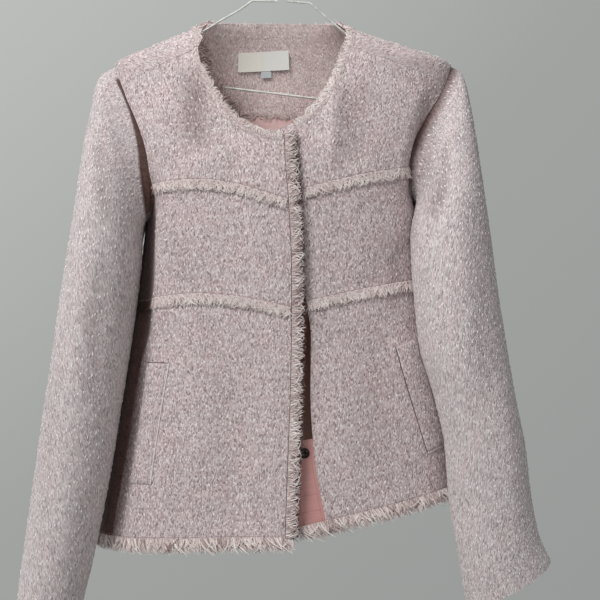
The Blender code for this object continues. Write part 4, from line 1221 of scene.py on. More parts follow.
@dataclass(frozen=True)
class Fray:
    """How a line of yarns frays. Lengths are in metres, and shares are of a yarn's length."""

    pitch: float
    length: float
    radius: float = 0.5 * MM
    uneven: float = 0.25
    lean: float = 0.25
    curl: float = 0.3
    lift: float = 0.12
    clump: float = 0.5
    slant: float = 0.08
    tones: tuple[float, float] = (0.1, 1.0)
    span: tuple[float, float] = (0.0, 1.0)
    clump_pitch: ClassVar[float] = 5 * MM
    taper: ClassVar[tuple[float, ...]] = (0.9, 1.0, 0.95, 0.75, 0.3)
    # painted shade, darker towards each yarn's root
    root_shade: ClassVar[tuple[float, ...]] = (0.7, 0.85, 1.0, 1.0, 1.0)

    def yarns(self, roots: Array, across: Array, out: Array, seed: int) -> Geometry:
        """Yarns along a line, each a thin tube that leans, curls and tapers.

        A yarn's point at share s is root + a L s + t L (lean s + curl s^2 + gather s^2) + n L lift
        sin(0.8 pi s), where a points across the edge, t along it and n off the cloth. Gather pulls
        the tips of neighbouring yarns together into uneven tufts.

        Args:
            roots: Points along the line.
            across: The way the yarns point, at each of them.
            out: The cloth's normals there.
            seed: For the yarns' own draws.

        Returns:
            The yarns, with a tone each.
        """
        random = np.random.default_rng(seed)
        lengths = lengths_along(roots)
        low, high = lengths[-1] * self.span[0], lengths[-1] * self.span[1]
        count = max(int((high - low) / self.pitch), 2)
        where = np.linspace(low, high, count) + random.uniform(-0.5, 0.5, count) * self.pitch
        where = np.clip(where, 0, lengths[-1])
        root, a, n = (
            np.stack([np.interp(where, lengths, values[:, axis]) for axis in range(3)], 1)
            for values in (roots, across, out)
        )
        t = unit(np.cross(n, a))
        tufts = np.sort(random.uniform(0, lengths[-1], max(int(lengths[-1] / self.clump_pitch), 2)))
        nearest = tufts[np.abs(where[:, None] - tufts[None]).argmin(axis=1)]
        way = np.sign(np.einsum("ij,ij->i", t, np.gradient(root, axis=0)).sum()) or 1.0
        size = self.length * (1 + self.uneven * random.normal(0, 0.6, count).clip(-1.6, 1.3))
        gather = way * (nearest - where) * self.clump / size
        lean = self.slant + self.lean * random.normal(0, 1, count)
        curl = self.curl * random.normal(0, 1, count)
        lift = self.lift * random.uniform(0.2, 1.6, count)
        steps = len(self.taper)
        s = np.linspace(0, 1, steps)[None, :, None]
        side_shift = lean[:, None, None] * s + (curl + gather)[:, None, None] * s**2
        rise = lift[:, None, None] * np.sin(s * math.pi * 0.8)
        way_out = a[:, None] * s + t[:, None] * side_shift + n[:, None] * rise
        paths = root[:, None] + size[:, None, None] * way_out
        radii = self.radius * random.uniform(0.7, 1.25, count)[:, None] * np.array(self.taper)[None]
        shape = tubes(paths, radii)
        sides = len(shape.points) // (count * steps)
        own = np.repeat(random.uniform(*self.tones, count), steps * sides)
        # Painted shade: each yarn's tone darkens towards its root.
        shape.tone = own * np.tile(np.repeat(np.array(self.root_shade), sides), count)
        return shape


@dataclass
class Trim:
    """A frayed trim: a raised band of tweed along a line, with yarns that fray from it.

    line is the sewn edge as places on the body, width the band's, and toward is +1 where the yarns
    point to the left of the line's run as seen from outside, and -1 to its right.
    """

    bench: Bench
    node: str
    line: Array
    side: Side
    width: float
    toward: int
    frays: Sequence[tuple[float, Fray]]
    seed: int
    base: float = 0.4 * MM
    rise: float = 1.5 * MM
    sewn: bool = True
    thread_radius: float = 0.4 * MM
    thread_tone: float = 0.2
    bevel: float = 0.06  # how far up its arch the band starts at each edge
    painted_shade_lines: Sequence[TuckedEdge] = ()
    columns: int = 6

    def depth(self, points: Array) -> Array:
        """How much painted shade falls on points of the trim, past its shade lines."""
        flat = np.zeros(points.shape[:-1])
        return sum((fold.depth(points[..., 0], points[..., 2]) for fold in self.painted_shade_lines), flat)

    def build(self) -> None:
        """Makes the band, its yarns, and the line of sewing at its edge.

        The band's outer face rises from the cloth as base + rise sin(pi s)^0.5 over its width.
        """
        form, finishes, side = self.bench.form, self.bench.finishes, self.side
        far = form.inset(self.line, self.toward * self.width, side)
        grid = ruled(self.line, far, self.columns)
        share = np.linspace(0, 1, self.columns + 1)
        arch = np.sin(math.pi * (self.bevel + (1 - 2 * self.bevel) * share))
        arch = np.sqrt(np.clip(arch, 0, 1))
        outer, normals = form.cloth(grid, side, self.base + self.rise * arch)
        inner, _ = form.cloth(grid, side, self.base / 2)
        random = np.random.default_rng(self.seed)
        outer = outer + normals * random.normal(0, 0.12 * MM, outer.shape[:2])[..., None]
        along = lengths_along(outer[:, 0])
        uv = np.stack(np.broadcast_arrays(share[None] * self.width, along[:, None]), axis=-1)
        # Painted shade on the band past its shade lines.
        band = wall(outer, inner, uv, tone=self.depth(outer))
        name = self.node + "_band"
        add_piece(name, band, finishes.tweed, "trim", self.node, sharp=70)
        across = unit(outer[:, -1] - outer[:, 0])
        yarns = []
        for number, (start, fray) in enumerate(self.frays):
            at = start * self.columns
            low = min(int(at), self.columns - 1)
            roots = outer[:, low] * (1 - at + low) + outer[:, low + 1] * (at - low)
            shape = fray.yarns(roots, across, normals[:, low], self.seed * 31 + number)
            # Painted shade: yarns past the shade lines take darker tones.
            shape.tone = shape.tone * (1 - self.depth(shape.points))
            yarns.append(shape)
        add_piece(name + "_fringe", joined(yarns), finishes.yarn, "trim")
        # The sewing is a real line of stitches; its default dark tone, as on the placket, also stands for
        # the shadow in the groove at the band's edge: partly painted shadow.
        if self.sewn:
            sewing = thread(outer[:, 0], self.thread_radius, tone=self.thread_tone)
            add_piece(name + "_sewing", sewing, finishes.thread, "trim")


@dataclass(frozen=True)
class Slubs:
    """Thick pale slubs of yarn, set over the cloth in a loose grid of cells of a pitch.

    A slub sits where a cell begins, shifted by half a cell in every other row.
    """

    pitch: tuple[float, float]
    seed: int
    size: ClassVar[tuple[float, ...]] = (0.66 * MM, 0.42 * MM, 1.9 * MM)  # half its width, height, length
    stray: ClassVar[tuple[float, ...]] = (0.45 * MM, 0.6 * MM)
    sunk: ClassVar[float] = 0.2 * MM
    tilt: ClassVar[float] = 0.28  # how far slubs lean from plumb, in radians
    scale: ClassVar[tuple[float, float]] = (0.7, 1.25)
    kept: ClassVar[float] = 0.95
    deepest: ClassVar[float] = 0.45  # a slub under more painted shade than this doesn't show

    def over(
        self, outer: Array, normals: Array, uv: Array, deep: Optional[Array] = None,
        cells: Optional[Array] = None,
    ) -> Geometry:
        """Slubs over a grid of cloth.

        Args:
            outer: The cloth's points, rows by columns.
            normals: Its normals.
            uv: Cloth lengths at the points.
            deep: How much painted shade each point takes.
            cells: Which cells hold cloth, or all of them.

        Returns:
            The slubs, with a tone each.
        """
        random = np.random.default_rng(self.seed)
        up = np.floor(uv[..., 1] / self.pitch[1])
        over = np.floor(uv[..., 0] / self.pitch[0] + 0.5 * (up % 2))
        starts = (up[1:, :-1] != up[:-1, :-1]) & (over[1:, 1:] != over[1:, :-1])
        if cells is not None:
            starts &= cells
        starts[:2] = starts[-2:] = False
        starts[:, :2] = starts[:, -2:] = False
        row, column = np.nonzero(starts)
        keep = random.uniform(size=len(row)) < self.kept
        if deep is not None:
            keep &= deep[row, column] < self.deepest
        row, column = row[keep], column[keep]
        centre, normal = outer[row, column], normals[row, column]
        upward = unit(outer[row + 1, column] - outer[row - 1, column])
        sideways = np.cross(upward, normal)
        count = len(row)
        tilt = random.normal(0, self.tilt, count)[:, None]
        long_way = upward * np.cos(tilt) + sideways * np.sin(tilt)
        wide_way = np.cross(long_way, normal)
        shift = random.normal(0, 1, (count, 2)) * np.array(self.stray)
        centre = centre + sideways * shift[:, :1] + upward * shift[:, 1:] + normal * self.sunk
        scale = random.uniform(*self.scale, (count, 3)) * np.array(self.size)
        axes = np.stack([wide_way, normal, long_way], axis=1)
        shape = blobs(centre, axes * scale[..., None])
        shape.tone = np.repeat(random.uniform(0, 1, count), len(shape.points) // count)
        return shape


def roughened(points: Array, normals: Array, grain: float, seed: int) -> Array:
    """Points moved off the cloth by a little noise, and by no more than 0.4 mm."""
    noise = np.random.default_rng(seed).normal(0, grain, points.shape[:2])
    return points + normals * noise.clip(-0.4 * MM, 0.4 * MM)[..., None]


# ---- The jacket ------------------------------------------


@dataclass
class Panel:
    """A panel of tweed: a thin wall on the creased form, with its slubs."""

    bench: Bench
    name: str
    side: Side
    grid: Array
    seed: int
    cells: Optional[Array] = None
    folded: int = 0  # how many of the last rows run on over the shoulders
    painted_shade_lines: Sequence[TuckedEdge] = ()
    pitch: ClassVar[tuple[float, float]] = (8.4 * MM, 9.4 * MM)
    grain: ClassVar[float] = 0.1 * MM

    def lengths(self, outer: Array) -> Array:
        """Cloth lengths at the grid's points; the folded rows count on from the last plain one."""
        plain = len(self.grid) - self.folded
        uv = self.bench.form.cloth_lengths(self.grid[:plain], self.side)
        if not self.folded:
            return uv
        steps = np.linalg.norm(np.diff(outer[plain - 1 :], axis=0), axis=2)
        over = np.repeat(uv[-1:], self.folded, axis=0)
        over[..., 1] += np.cumsum(steps, axis=0)
        return np.concatenate([uv, over])

    def build(self) -> list[bpy.types.Object]:
        """Makes the panel's wall and its slubs, and returns both."""
        form, finishes = self.bench.form, self.bench.finishes
        outer, normals = form.cloth(self.grid, self.side)
        uv = self.lengths(outer)
        face = roughened(outer, normals, self.grain, self.seed)
        # Painted shade: the cloth darkens in the creases' troughs and past the shade lines, and no slubs
        # show where it is deep.
        deep = FOLD_SHADE * np.clip(-form.relief(outer, self.grid[..., 0]) / MM, 0, 20)
        for fold in self.painted_shade_lines:
            deep = np.maximum(deep, fold.depth(outer[..., 0], outer[..., 2]))
        shape = wall(face, outer - normals * TWEED_WALL, uv, cells=self.cells, tone=deep)
        sheet = add_piece(
            self.name + "_cloth", shape, finishes.tweed, "tweed", self.name,
            inner=finishes.satin, sharp=CLOTH_SHARP,
        )
        dots = Slubs(self.pitch, self.seed).over(outer, normals, uv, deep, self.cells)
        return [sheet, add_piece(self.name + "_slubs", dots, finishes.slub, "tweed")]


@dataclass(frozen=True)
class SleeveRow:
    """One ring of a sleeve, in millimetres.

    Its diameter runs from the outer line to the inner one, and hold is how much of the armhole's
    own bow it keeps.
    """

    outer_x: float
    outer_z: float
    inner_x: float
    inner_z: float
    centre_y: float
    half_depth: float
    hold: float


RIGHT_SLEEVE_ROWS = tuple(SleeveRow(*row) for row in (
    (-188, -142, -155, -312, 0, 46, 1.0),
    (-201, -150, -157, -317, -3, 49, 0.80),
    (-208, -163, -156, -322, -5, 52, 0.55),
    (-212, -190, -155, -328, -9, 55, 0.28),
    (-218, -227, -154, -337, -14, 57, 0.10),
    (-224, -285, -154, -352, -20, 58, 0),
    (-231, -334, -156, -374, -25, 58, 0),
    (-239, -388, -160, -408, -29, 56, 0),
    (-246, -442, -166, -452, -33, 53, 0),
    (-255, -506, -175, -512, -38, 50, 0),
    (-263, -570, -184, -573, -42, 47, 0),
    (-271, -633, -195, -634, -46, 44, 0),
    (-278, -686, -206, -687, -48, 42, 0),
    (-283, -733, -219, -739, -50, 41, 0),
))
LEFT_SLEEVE_ROWS = tuple(SleeveRow(*row) for row in (
    (184, -141, 144, -290, 0, 46, 1.0),
    (194, -148, 145, -295, -4, 49, 0.80),
    (199, -163, 143, -300, -9, 52, 0.55),
    (203, -190, 140, -308, -17, 55, 0.28),
    (207, -228, 137, -318, -28, 56, 0.10),
    (211, -275, 135, -334, -41, 56, 0),
    (217, -330, 135, -362, -52, 55, 0),
    (223, -385, 137, -398, -59, 54, 0),
    (231, -440, 142, -446, -62, 53, 0),
    (241, -500, 158, -503, -64, 50, 0),
    (251, -552, 168, -551, -66, 47, 0),
    (257, -603, 172, -604, -67, 45, 0),
    (265, -643, 180, -656, -68, 43, 0),
    (277, -669, 190, -716, -68, 41, 0),
))
RIGHT_SLEEVE_CREASES = tuple(Crease(*row) for row in (
    ((-196, -215), (-176, -330), 9, -3.0, 4),
    ((-214, -250), (-206, -420), 14, 2.0, -4),
    ((-186, -350), (-196, -520), 11, -2.4, 3),
    ((-236, -430), (-244, -640), 13, -2.0, 3),
    ((-214, -560), (-226, -720), 11, 1.8),
))
LEFT_SLEEVE_CREASES = (
    LEFT_ARMHOLE_FOLD,
    Crease((180, -185), (160, -290), 8, 3.0, -4),
    Crease((170, -228), (149, -322), 7, -7.0, -3),
    Crease((192, -300), (206, -520), 13, -2.2, -3),
    Crease((176, -400), (186, -600), 11, 2.2, 3),
    Crease((222, -470), (238, -640), 12, 1.8, 3),
)


@dataclass
class Sleeve:
    """A sleeve: rings from the armhole to the cuff, flattened where they hang beside the body."""

    bench: Bench
    side: Side
    rows: Sequence[SleeveRow]
    creases: Sequence[Crease]
    seed: int
    # the line past which the sleeve takes painted shade and sinks in
    fold: TuckedEdge
    front_steps: ClassVar[int] = 62
    back_steps: ClassVar[int] = 58
    ring_steps: ClassVar[int] = 215
    clear: ClassVar[float] = 2 * MM
    tuck: ClassVar[float] = 7 * MM  # how far the cloth sinks where its painted shade is deepest
    calm_rows: ClassVar[float] = 1.5  # rows below the armhole over which the creases set in
    behind_share: ClassVar[float] = -0.8  # the creases' rise on the sleeve's hidden side
    pitch: ClassVar[tuple[float, float]] = (7.2 * MM, 8.4 * MM)
    grain: ClassVar[float] = 0.16 * MM

    def rings(self) -> tuple[Array, Array, Array]:
        """Rings of points from the armhole to the cuff, their outward normals, and their painted shade.

        A ring is centre + cos(a) (outer - inner) / 2 + sin(a) depth, with a from pi at the underarm
        over 0 at the top to -pi, plus its hold's share of the armhole's own bow.

        Returns:
            The points, the normals and the painted shade on each, rings by places around.
        """
        hand, form, outlines = self.side.hand, self.bench.form, self.bench.outlines
        ahead = outlines.armhole(hand, np.linspace(0, 1, self.front_steps + 1))
        behind = outlines.armhole(hand, np.linspace(1, 0, self.back_steps + 1)[1:-1], behind=True)
        loop = form.inset(np.concatenate([ahead, behind]), -hand * SEAM_GAP / 2, Side.BACK)
        start, outward = form.cloth(loop, Side.BACK)
        lengths = lengths_along(np.concatenate([start, start[:1]]))
        top = lengths[self.front_steps]
        rising, falling = lengths[:-1] / top, (lengths[:-1] - top) / (lengths[-1] - top)
        first = np.arange(len(loop)) <= self.front_steps
        angle = np.where(first, math.pi * (1 - rising), -math.pi * falling)
        table = np.array([[getattr(row, item.name) for item in fields(row)] for row in self.rows])
        at = np.linspace(0, len(table) - 1, self.ring_steps + 1)
        outer_x, outer_z, inner_x, inner_z, centre_y, depth, hold = smooth(table, at).T
        outer = np.stack([outer_x, centre_y, outer_z], axis=1) * MM
        inner = np.stack([inner_x, centre_y, inner_z], axis=1) * MM
        sideways = np.cos(angle)[None, :, None] * ((outer - inner) / 2)[:, None]
        forward = np.sin(angle)[None, :, None] * (np.outer(depth, [0, -1, 0]) * MM)[:, None]
        rings = (outer + inner)[:, None] / 2 + sideways + forward
        rings = rings + (start - rings[0])[None] * hold[:, None, None]
        rings = self.beside_body(rings, self.clear * (1 - hold)[:, None])
        rings[0] = start
        normals = self.normals(rings)
        normals[0] = outward
        x, z = rings[..., 0], rings[..., 2]
        rise = sum(crease.rise(x, z) for crease in self.creases)
        ease = smoothstep(at / self.calm_rows)[:, None]
        front = np.sin(angle) > 0
        facing = np.where(front, 1.0, self.behind_share)[None]
        edge = np.abs(np.sin(angle))[None] ** 0.5
        # Painted shade on the sleeve's front, in the creases' troughs and past the fold line; where it is
        # deep, the cloth also sinks.
        troughs = FOLD_SHADE * np.clip(-rise / MM, 0, 20) * front
        deep = np.maximum(troughs, self.fold.depth(x, z) * front)
        rings = rings + normals * (rise * ease * facing * edge)[..., None]
        rings[..., 1] += np.maximum(deep - 0.3, 0) * ease * self.tuck
        return rings, normals, deep

    def beside_body(self, rings: Array, clear: Array) -> Array:
        """Rings moved sideways where the sleeve would press into the body.

        Args:
            rings: The sleeve's points.
            clear: The room to leave, for each ring.

        Returns:
            The points, moved.
        """
        hand, name, form = self.side.hand, self.side.value, self.bench.form
        level = np.interp(rings[..., 2], form.table[f"z_{name}"], np.arange(form.top + 1))
        middle, power, front, back = form.columns(level, "side", "power", "front", "back")
        depth = np.where(rings[..., 1] < middle, front, back)
        share = np.clip((rings[..., 1] - middle) / (depth - middle), 0, 1)
        reach = form.column(name, level) * (1 - share ** (2 / power)) ** (power / 2)
        moved = rings.copy()
        moved[..., 0] = hand * np.maximum(hand * rings[..., 0], reach + clear)
        return moved

    @staticmethod
    def normals(rings: Array) -> Array:
        """Outward normals, across the differences along and around the tube."""
        around = np.roll(rings, -1, axis=1) - np.roll(rings, 1, axis=1)
        across = unit(np.cross(np.gradient(rings, axis=0), around))
        outward = rings - rings.mean(axis=1, keepdims=True)
        sign = np.sign(np.einsum("rci,rci->rc", across, outward).sum(axis=1))
        return across * sign[:, None, None]

    def build(self) -> list[bpy.types.Object]:
        """Makes the sleeve's wall and its slubs, and returns both."""
        finishes = self.bench.finishes
        rings, normals, deep = self.rings()
        closed = np.concatenate([rings, rings[:, :1]], axis=1)
        around = np.zeros(closed.shape[:2])
        around[:, 1:] = np.cumsum(np.linalg.norm(np.diff(closed, axis=1), axis=2), axis=1)
        around -= around[:, [self.front_steps]]
        down = np.zeros(closed.shape[:2])
        down[1:] = np.cumsum(np.linalg.norm(np.diff(closed, axis=0), axis=2), axis=0)
        uv = np.stack([around, down], axis=-1)
        face = roughened(rings, normals, self.grain, self.seed)
        shape = wall(face, rings - normals * TWEED_WALL, uv, around=True, tone=deep)
        name = f"{self.side.value}_sleeve"
        sheet = add_piece(
            name + "_cloth", shape, finishes.sleeve_tweed, "tweed", name,
            inner=finishes.satin, sharp=CLOTH_SHARP,
        )
        dots = Slubs(self.pitch, self.seed).over(rings, normals, uv[:, :-1], deep)
        return [sheet, add_piece(name + "_slubs", dots, finishes.slub, "tweed")]


HORIZONTAL_FRAYS = (
    (0.15, Fray(1.3 * MM, 6.0 * MM, 0.5 * MM, lean=0.7, curl=0.5, lift=0.06, tones=(0.35, 0.9))),
    (0.55, Fray(0.9 * MM, 8.0 * MM, 0.55 * MM, lean=0.35, lift=0.08, clump=0.8, tones=(0.35, 0.9))),
    (0.9, Fray(1.2 * MM, 6.0 * MM, 0.6 * MM, lean=0.5, curl=0.4, lift=0.15, clump=0.8)),
)
PLACKET_FRAYS = (
    (0.1, Fray(0.9 * MM, 6.5 * MM, 0.65 * MM, curl=0.35, slant=0.25)),
    (0.45, Fray(1.0 * MM, 7.0 * MM, 0.7 * MM, lean=0.3, curl=0.45, lift=0.16, clump=0.7, slant=0.2)),
    (0.85, Fray(1.1 * MM, 6.5 * MM, 0.65 * MM, lean=0.4, curl=0.5, clump=0.8, slant=0.2)),
    # Dark yarns past the placket's edge: painted shadow beyond the fringe.
    (0.9, Fray(0.9 * MM, 7.5 * MM, 0.7 * MM, lean=0.4, curl=0.5, lift=-0.12, clump=1, tones=(0, 0.05))),
)
NECK_FRAYS = (
    (0.0, Fray(1.1 * MM, 5.5 * MM, lean=0.8, curl=0.6, lift=0.03, tones=(0.45, 0.9))),
    (0.3, Fray(0.9 * MM, 6.0 * MM, 0.55 * MM, lean=0.3, lift=0.06, tones=(0.4, 1.0))),
    (0.72, Fray(0.9 * MM, 4.2 * MM, 0.6 * MM, lean=0.35, curl=0.5, lift=0.1, clump=0.7, tones=(0.3, 1))),
)
# Tufts at the neck's inner edge, their dark brown tones a painted shadow.
PAINTED_SHADOW_TUFT = Fray(
    0.6 * MM, 8.5 * MM, 0.9 * MM, lean=0.3, curl=0.5, lift=0.02, clump=1, tones=(0.02, 0.09),
    span=(0.33, 1),
)
NECK_SHADOW_TUFTS = (
    (0.85, PAINTED_SHADOW_TUFT),
    (0.55, replace(PAINTED_SHADOW_TUFT, pitch=0.5 * MM, length=9 * MM, lean=0.5, curl=0.6, lift=0.2, span=(0.86, 1))),
)
FACING_FRAY = Fray(0.9 * MM, 6.5 * MM, 0.6 * MM, 0.5, lean=0.3, lift=0.02, tones=(0.25, 0.6))
HEM_FRAYS = (
    Fray(0.7 * MM, 12.5 * MM, 0.75 * MM, 0.22, lean=0.2, curl=0.2, lift=0.05, clump=0.8, slant=0.3),
    Fray(1.1 * MM, 11.5 * MM, 0.8 * MM, 0.35, lean=0.35, lift=0.16, clump=1.0, slant=0.35),
)


@dataclass
class Jacket:
    """The jacket: its panels, sleeves, trims and small parts."""

    bench: Bench
    placket_width: float = 7.5 * MM
    neck_trim_width: float = 9.0 * MM
    band_width: float = 7.5 * MM
    underlap_reach: float = 30 * MM
    inside: float = -TWEED_WALL - CLEAR  # where what lies inside the back has its outer face
    line_steps: int = 200  # steps of a line before it is cut into even ones
    trim_steps: int = 56
    placket_steps: int = 150
    neck_steps: tuple[int, int] = (50, 80)  # along each front's neckline, and along the back's
    hem_steps: int = 160
    hem_fall: float = 0.9  # levels below the hem to which its yarns point
    trim_levels: tuple[tuple[str, float], ...] = (("waist", 5.0), ("chest", 8.0))
    front_rows: tuple[int, int, int] = (134, 24, 44)
    back_rows: tuple[int, int, int] = (115, 55, 8)
    back_columns: tuple[int, int] = (36, 40)
    label_tilt: float = math.radians(3.2)
    label_off: float = 0.6 * MM
    label_wall: float = 0.45 * MM
    lining_shade_z: tuple[float, float] = (-230 * MM, 60 * MM)  # where the painted shade starts, and over what
    facing_pitch: tuple[float, float] = (9.4 * MM, 10.6 * MM)
    welt_pitch: tuple[float, float] = (10 * MM, 11.2 * MM)
    facing_rows: int = 26
    facing_columns: tuple[int, int] = (38, 75)

    def __post_init__(self) -> None:
        """Lays out the back's grid, which the back, the facing and the lining share."""
        self.back_grid, self.back_cells = self.bench.outlines.back(self.back_rows, self.back_columns)
        self.nape_row = self.back_rows[0] + self.back_rows[1]

    def panels(self) -> None:
        """Makes the fronts and the back."""
        for side, columns, flat, seed, painted_shade_lines in (
            (Side.RIGHT, 84, (0.26, 0.57), 11, (RIGHT_SIDE_PAINTED_SHADE,)), (Side.LEFT, 66, (0.20, 0.54), 12, ()),
        ):
            grid = self.bench.outlines.front(side, self.front_rows, columns)
            panel = Panel(self.bench, f"{side.value}_front", side, grid, seed, painted_shade_lines=painted_shade_lines)
            panel.build()
        panel = Panel(
            self.bench, "back_body", Side.BACK, self.back_grid, 13, self.back_cells, self.back_rows[2]
        )
        panel.build()

    def sleeves(self) -> None:
        """Makes both sleeves."""
        for side, rows, creases, seed, fold in (
            (Side.RIGHT, RIGHT_SLEEVE_ROWS, RIGHT_SLEEVE_CREASES, 21, RIGHT_ARMHOLE_SINK_AND_SHADE),
            (Side.LEFT, LEFT_SLEEVE_ROWS, LEFT_SLEEVE_CREASES, 22, LEFT_ARMHOLE_SHADE),
        ):
            pieces = Sleeve(self.bench, side, rows, creases, seed, fold).build()

    def level_line(self, side: Side, level: float) -> Array:
        """Places at one level, from the side seam or the armhole to the front edge's trim.

        Args:
            side: Which front.
            level: The line's level.

        Returns:
            The places.
        """
        form, outlines = self.bench.form, self.bench.outlines
        start = 1.0
        if level > outlines.foot:
            start = abs(float(outlines.armhole(side.hand, outlines.armhole_share(level))[0]))
        lap = float(form.column("edge_right", level))
        edge = lap - self.placket_width
        if side is Side.LEFT:
            edge = max(float(form.column("edge_left", level)), lap - 2 * MM)
        turns = np.linspace(side.hand * start, float(form.turn_at(edge, level)), 80)
        return form.evenly(places(turns, level), self.trim_steps, side, 3 * MM, 0.3 * MM)

    def trims(self) -> None:
        """Makes the horizontal trims, the placket's and the neck's."""
        form, outlines = self.bench.form, self.bench.outlines
        for side in (Side.RIGHT, Side.LEFT):
            for name, level in self.trim_levels:
                Trim(
                    self.bench, f"{name}_trim_{side.value}", self.level_line(side, level), side,
                    self.band_width, side.hand, HORIZONTAL_FRAYS, int(level) * 2 + side.hand,
                    rise=1.1 * MM, thread_radius=0.25 * MM, thread_tone=0.9,
                    painted_shade_lines=(RIGHT_SIDE_PAINTED_SHADE,) if side is Side.RIGHT else (),
                ).build()
        levels = np.linspace(form.level["hem"], outlines.corner(Side.RIGHT)[1][1], self.line_steps)
        edge = form.evenly(outlines.front_edge(Side.RIGHT, levels), self.placket_steps, Side.RIGHT)
        sewn = form.inset(edge, self.placket_width, Side.RIGHT)
        Trim(
            self.bench, "placket_trim", sewn, Side.RIGHT, self.placket_width, -1, PLACKET_FRAYS, 41
        ).build()
        few, many = self.neck_steps
        for side, line, steps, start, tufts, seed in (
            (Side.RIGHT, outlines.front_neckline(Side.RIGHT, 60), few, 9.3 * MM, NECK_SHADOW_TUFTS, 49),
            (Side.LEFT, outlines.front_neckline(Side.LEFT, 60), few, 18 * MM, (), 51),
            (Side.BACK, outlines.whole_back_neckline(), many, 1.0 * MM, (), 53),
        ):
            line = form.evenly(line, steps, side, start, 1.0 * MM)
            Trim(
                self.bench, f"neck_trim_{side.value}",
                form.inset(line, -side.hand * self.neck_trim_width, side), side,
                self.neck_trim_width, side.hand, NECK_FRAYS + tufts, seed,
                base=0.15 * MM, rise=0.7 * MM, sewn=False, bevel=0.0,
            ).build()

    def hems(self) -> None:
        """Makes the frayed hems of the fronts and of the back."""
        form, finishes = self.bench.form, self.bench.finishes
        hem = form.level["hem"]
        lap = float(form.column("edge_right", hem))
        reach = float(form.column("edge_left", hem)) - self.underlap_reach
        for side, first, last in (
            (Side.RIGHT, -1.0, float(form.turn_at(lap, hem))),
            (Side.LEFT, 1.0, float(form.turn_at(reach, hem))),
            (Side.BACK, 1.0, 3.0),
        ):
            node = f"hem_fringe_{side.value}"
            line = places(np.linspace(first, last, self.line_steps), hem)
            line = form.evenly(line, self.hem_steps, side, 0.6 * MM, 0.3 * MM)
            middle, normals = form.cloth(line, side, -TWEED_WALL / 2)
            tips, _ = form.cloth(line - np.array([0, self.hem_fall]), side, -TWEED_WALL / 2)
            across = unit(tips - middle)
            yarns = []
            for number, fray in enumerate(HEM_FRAYS):
                for layer in (-0.5, 0.5):
                    roots = middle + normals * layer * MM * 1.2 - across * 1.5 * MM
                    seed = 60 + number * 7 + int(layer * 2) + side.hand * 3
                    yarns.append(fray.yarns(roots, across, normals, seed))
            add_piece(node + "_yarns", joined(yarns), finishes.yarn, "trim", node)
            sewn = middle + normals * (TWEED_WALL / 2 + 0.15 * MM) - across * 3.0 * MM
            sewing = thread(sewn, STITCH, tone=1.0)
            add_piece(node + "_sewing", sewing, finishes.thread, "trim")

    def patch(
        self, grid: Array, side: Side, out: float, thick: float, tone: Optional[Array] = None
    ) -> Geometry:
        """A thin wall off the cloth, with lengths from its own corner.

        Args:
            grid: Its places on the body.
            side: The panel that they belong to.
            out: How far beyond the cloth its outer face lies.
            thick: Its thickness.
            tone: How much painted shade each place takes.

        Returns:
            The wall.
        """
        outer, normals = self.bench.form.cloth(grid, side, out)
        uv = self.bench.form.cloth_lengths(grid, side)
        return wall(outer, outer - normals * thick, uv, tone=tone)

    def facing(self) -> None:
        """Makes the back neck facing, its slubs and its frayed lower edge."""
        form, finishes = self.bench.form, self.bench.finishes
        top = self.nape_row
        grid = self.back_grid[top - self.facing_rows : top + 1, slice(*self.facing_columns)]
        shape = self.patch(grid, Side.BACK, self.inside, TWEED_WALL)
        name = "back_neck_facing"
        piece = add_piece(name + "_cloth", shape, finishes.facing, "tweed", name, sharp=CLOTH_SHARP)
        face, out = form.cloth(grid, Side.BACK, self.inside - TWEED_WALL)
        lengths = form.cloth_lengths(grid, Side.BACK)
        fine = (finer(values, 4) for values in (face, -out, lengths))
        dots = Slubs(self.facing_pitch, 35).over(*fine)
        add_piece(name + "_slubs", dots, finishes.slub, "tweed")
        down = unit(face[0] - face[1])
        ends = FACING_FRAY.yarns(face[0] - down * 2 * MM, down, -out[0], 71)
        add_piece(name + "_edge", ends, finishes.yarn, "tweed")

    def lining(self) -> None:
        """Makes the lining, with painted shade that grows from its top down into the jacket."""
        form = self.bench.form
        grid = self.back_grid[: self.nape_row - self.facing_rows + 1 : 2, 3:-3:2].copy()
        grid[-1] += (grid[-2] - grid[-1]) * 0.05
        height = form.point(grid[..., 0], grid[..., 1], Side.BACK)[..., 2]
        start, over = self.lining_shade_z
        shade = smoothstep((start - height) / over)
        shape = self.patch(grid, Side.BACK, self.inside, SATIN_WALL, shade)
        satin = self.bench.finishes.satin
        piece = add_piece("back_lining_cloth", shape, satin, "satin", "back_lining", sharp=CLOTH_SHARP)

    def label(
        self, name: str, centre: tuple[float, float], size: tuple[float, float], gap: float,
        finish: bpy.types.Material,
    ) -> None:
        """Makes a bare label: a tilted rectangle of tape on the back's inner face.

        Args:
            name: The CAD node that it replaces.
            centre: x and z of its middle, in millimetres.
            size: Its width and height, in millimetres.
            gap: How far it stands off the facing, in millimetres.
            finish: Its material.
        """
        tilt = self.label_tilt
        across = np.linspace(-0.5, 0.5, 31)[None, :] * size[0]
        up = np.linspace(-0.5, 0.5, 11)[:, None] * size[1]
        x = (centre[0] + across * math.cos(tilt) - up * math.sin(tilt)) * MM
        z = (centre[1] + across * math.sin(tilt) + up * math.cos(tilt)) * MM
        grid = self.bench.form.locate(x, z, Side.BACK, behind=True)
        out = -2 * TWEED_WALL - 2 * CLEAR - gap * MM
        fold = np.exp(-((across / size[0] + 0.06) ** 2) / 0.0006) * 0.35 * MM
        outer, normals = self.bench.form.cloth(grid, Side.BACK, out - self.label_off - fold)
        share = np.stack(np.broadcast_arrays(across / size[0] + 0.5, up / size[1] + 0.5), axis=-1)
        shape = wall(outer, outer + normals * self.label_wall, share)
        add_piece(name + "_tape", shape, finish, "label", name, sharp=CLOTH_SHARP)

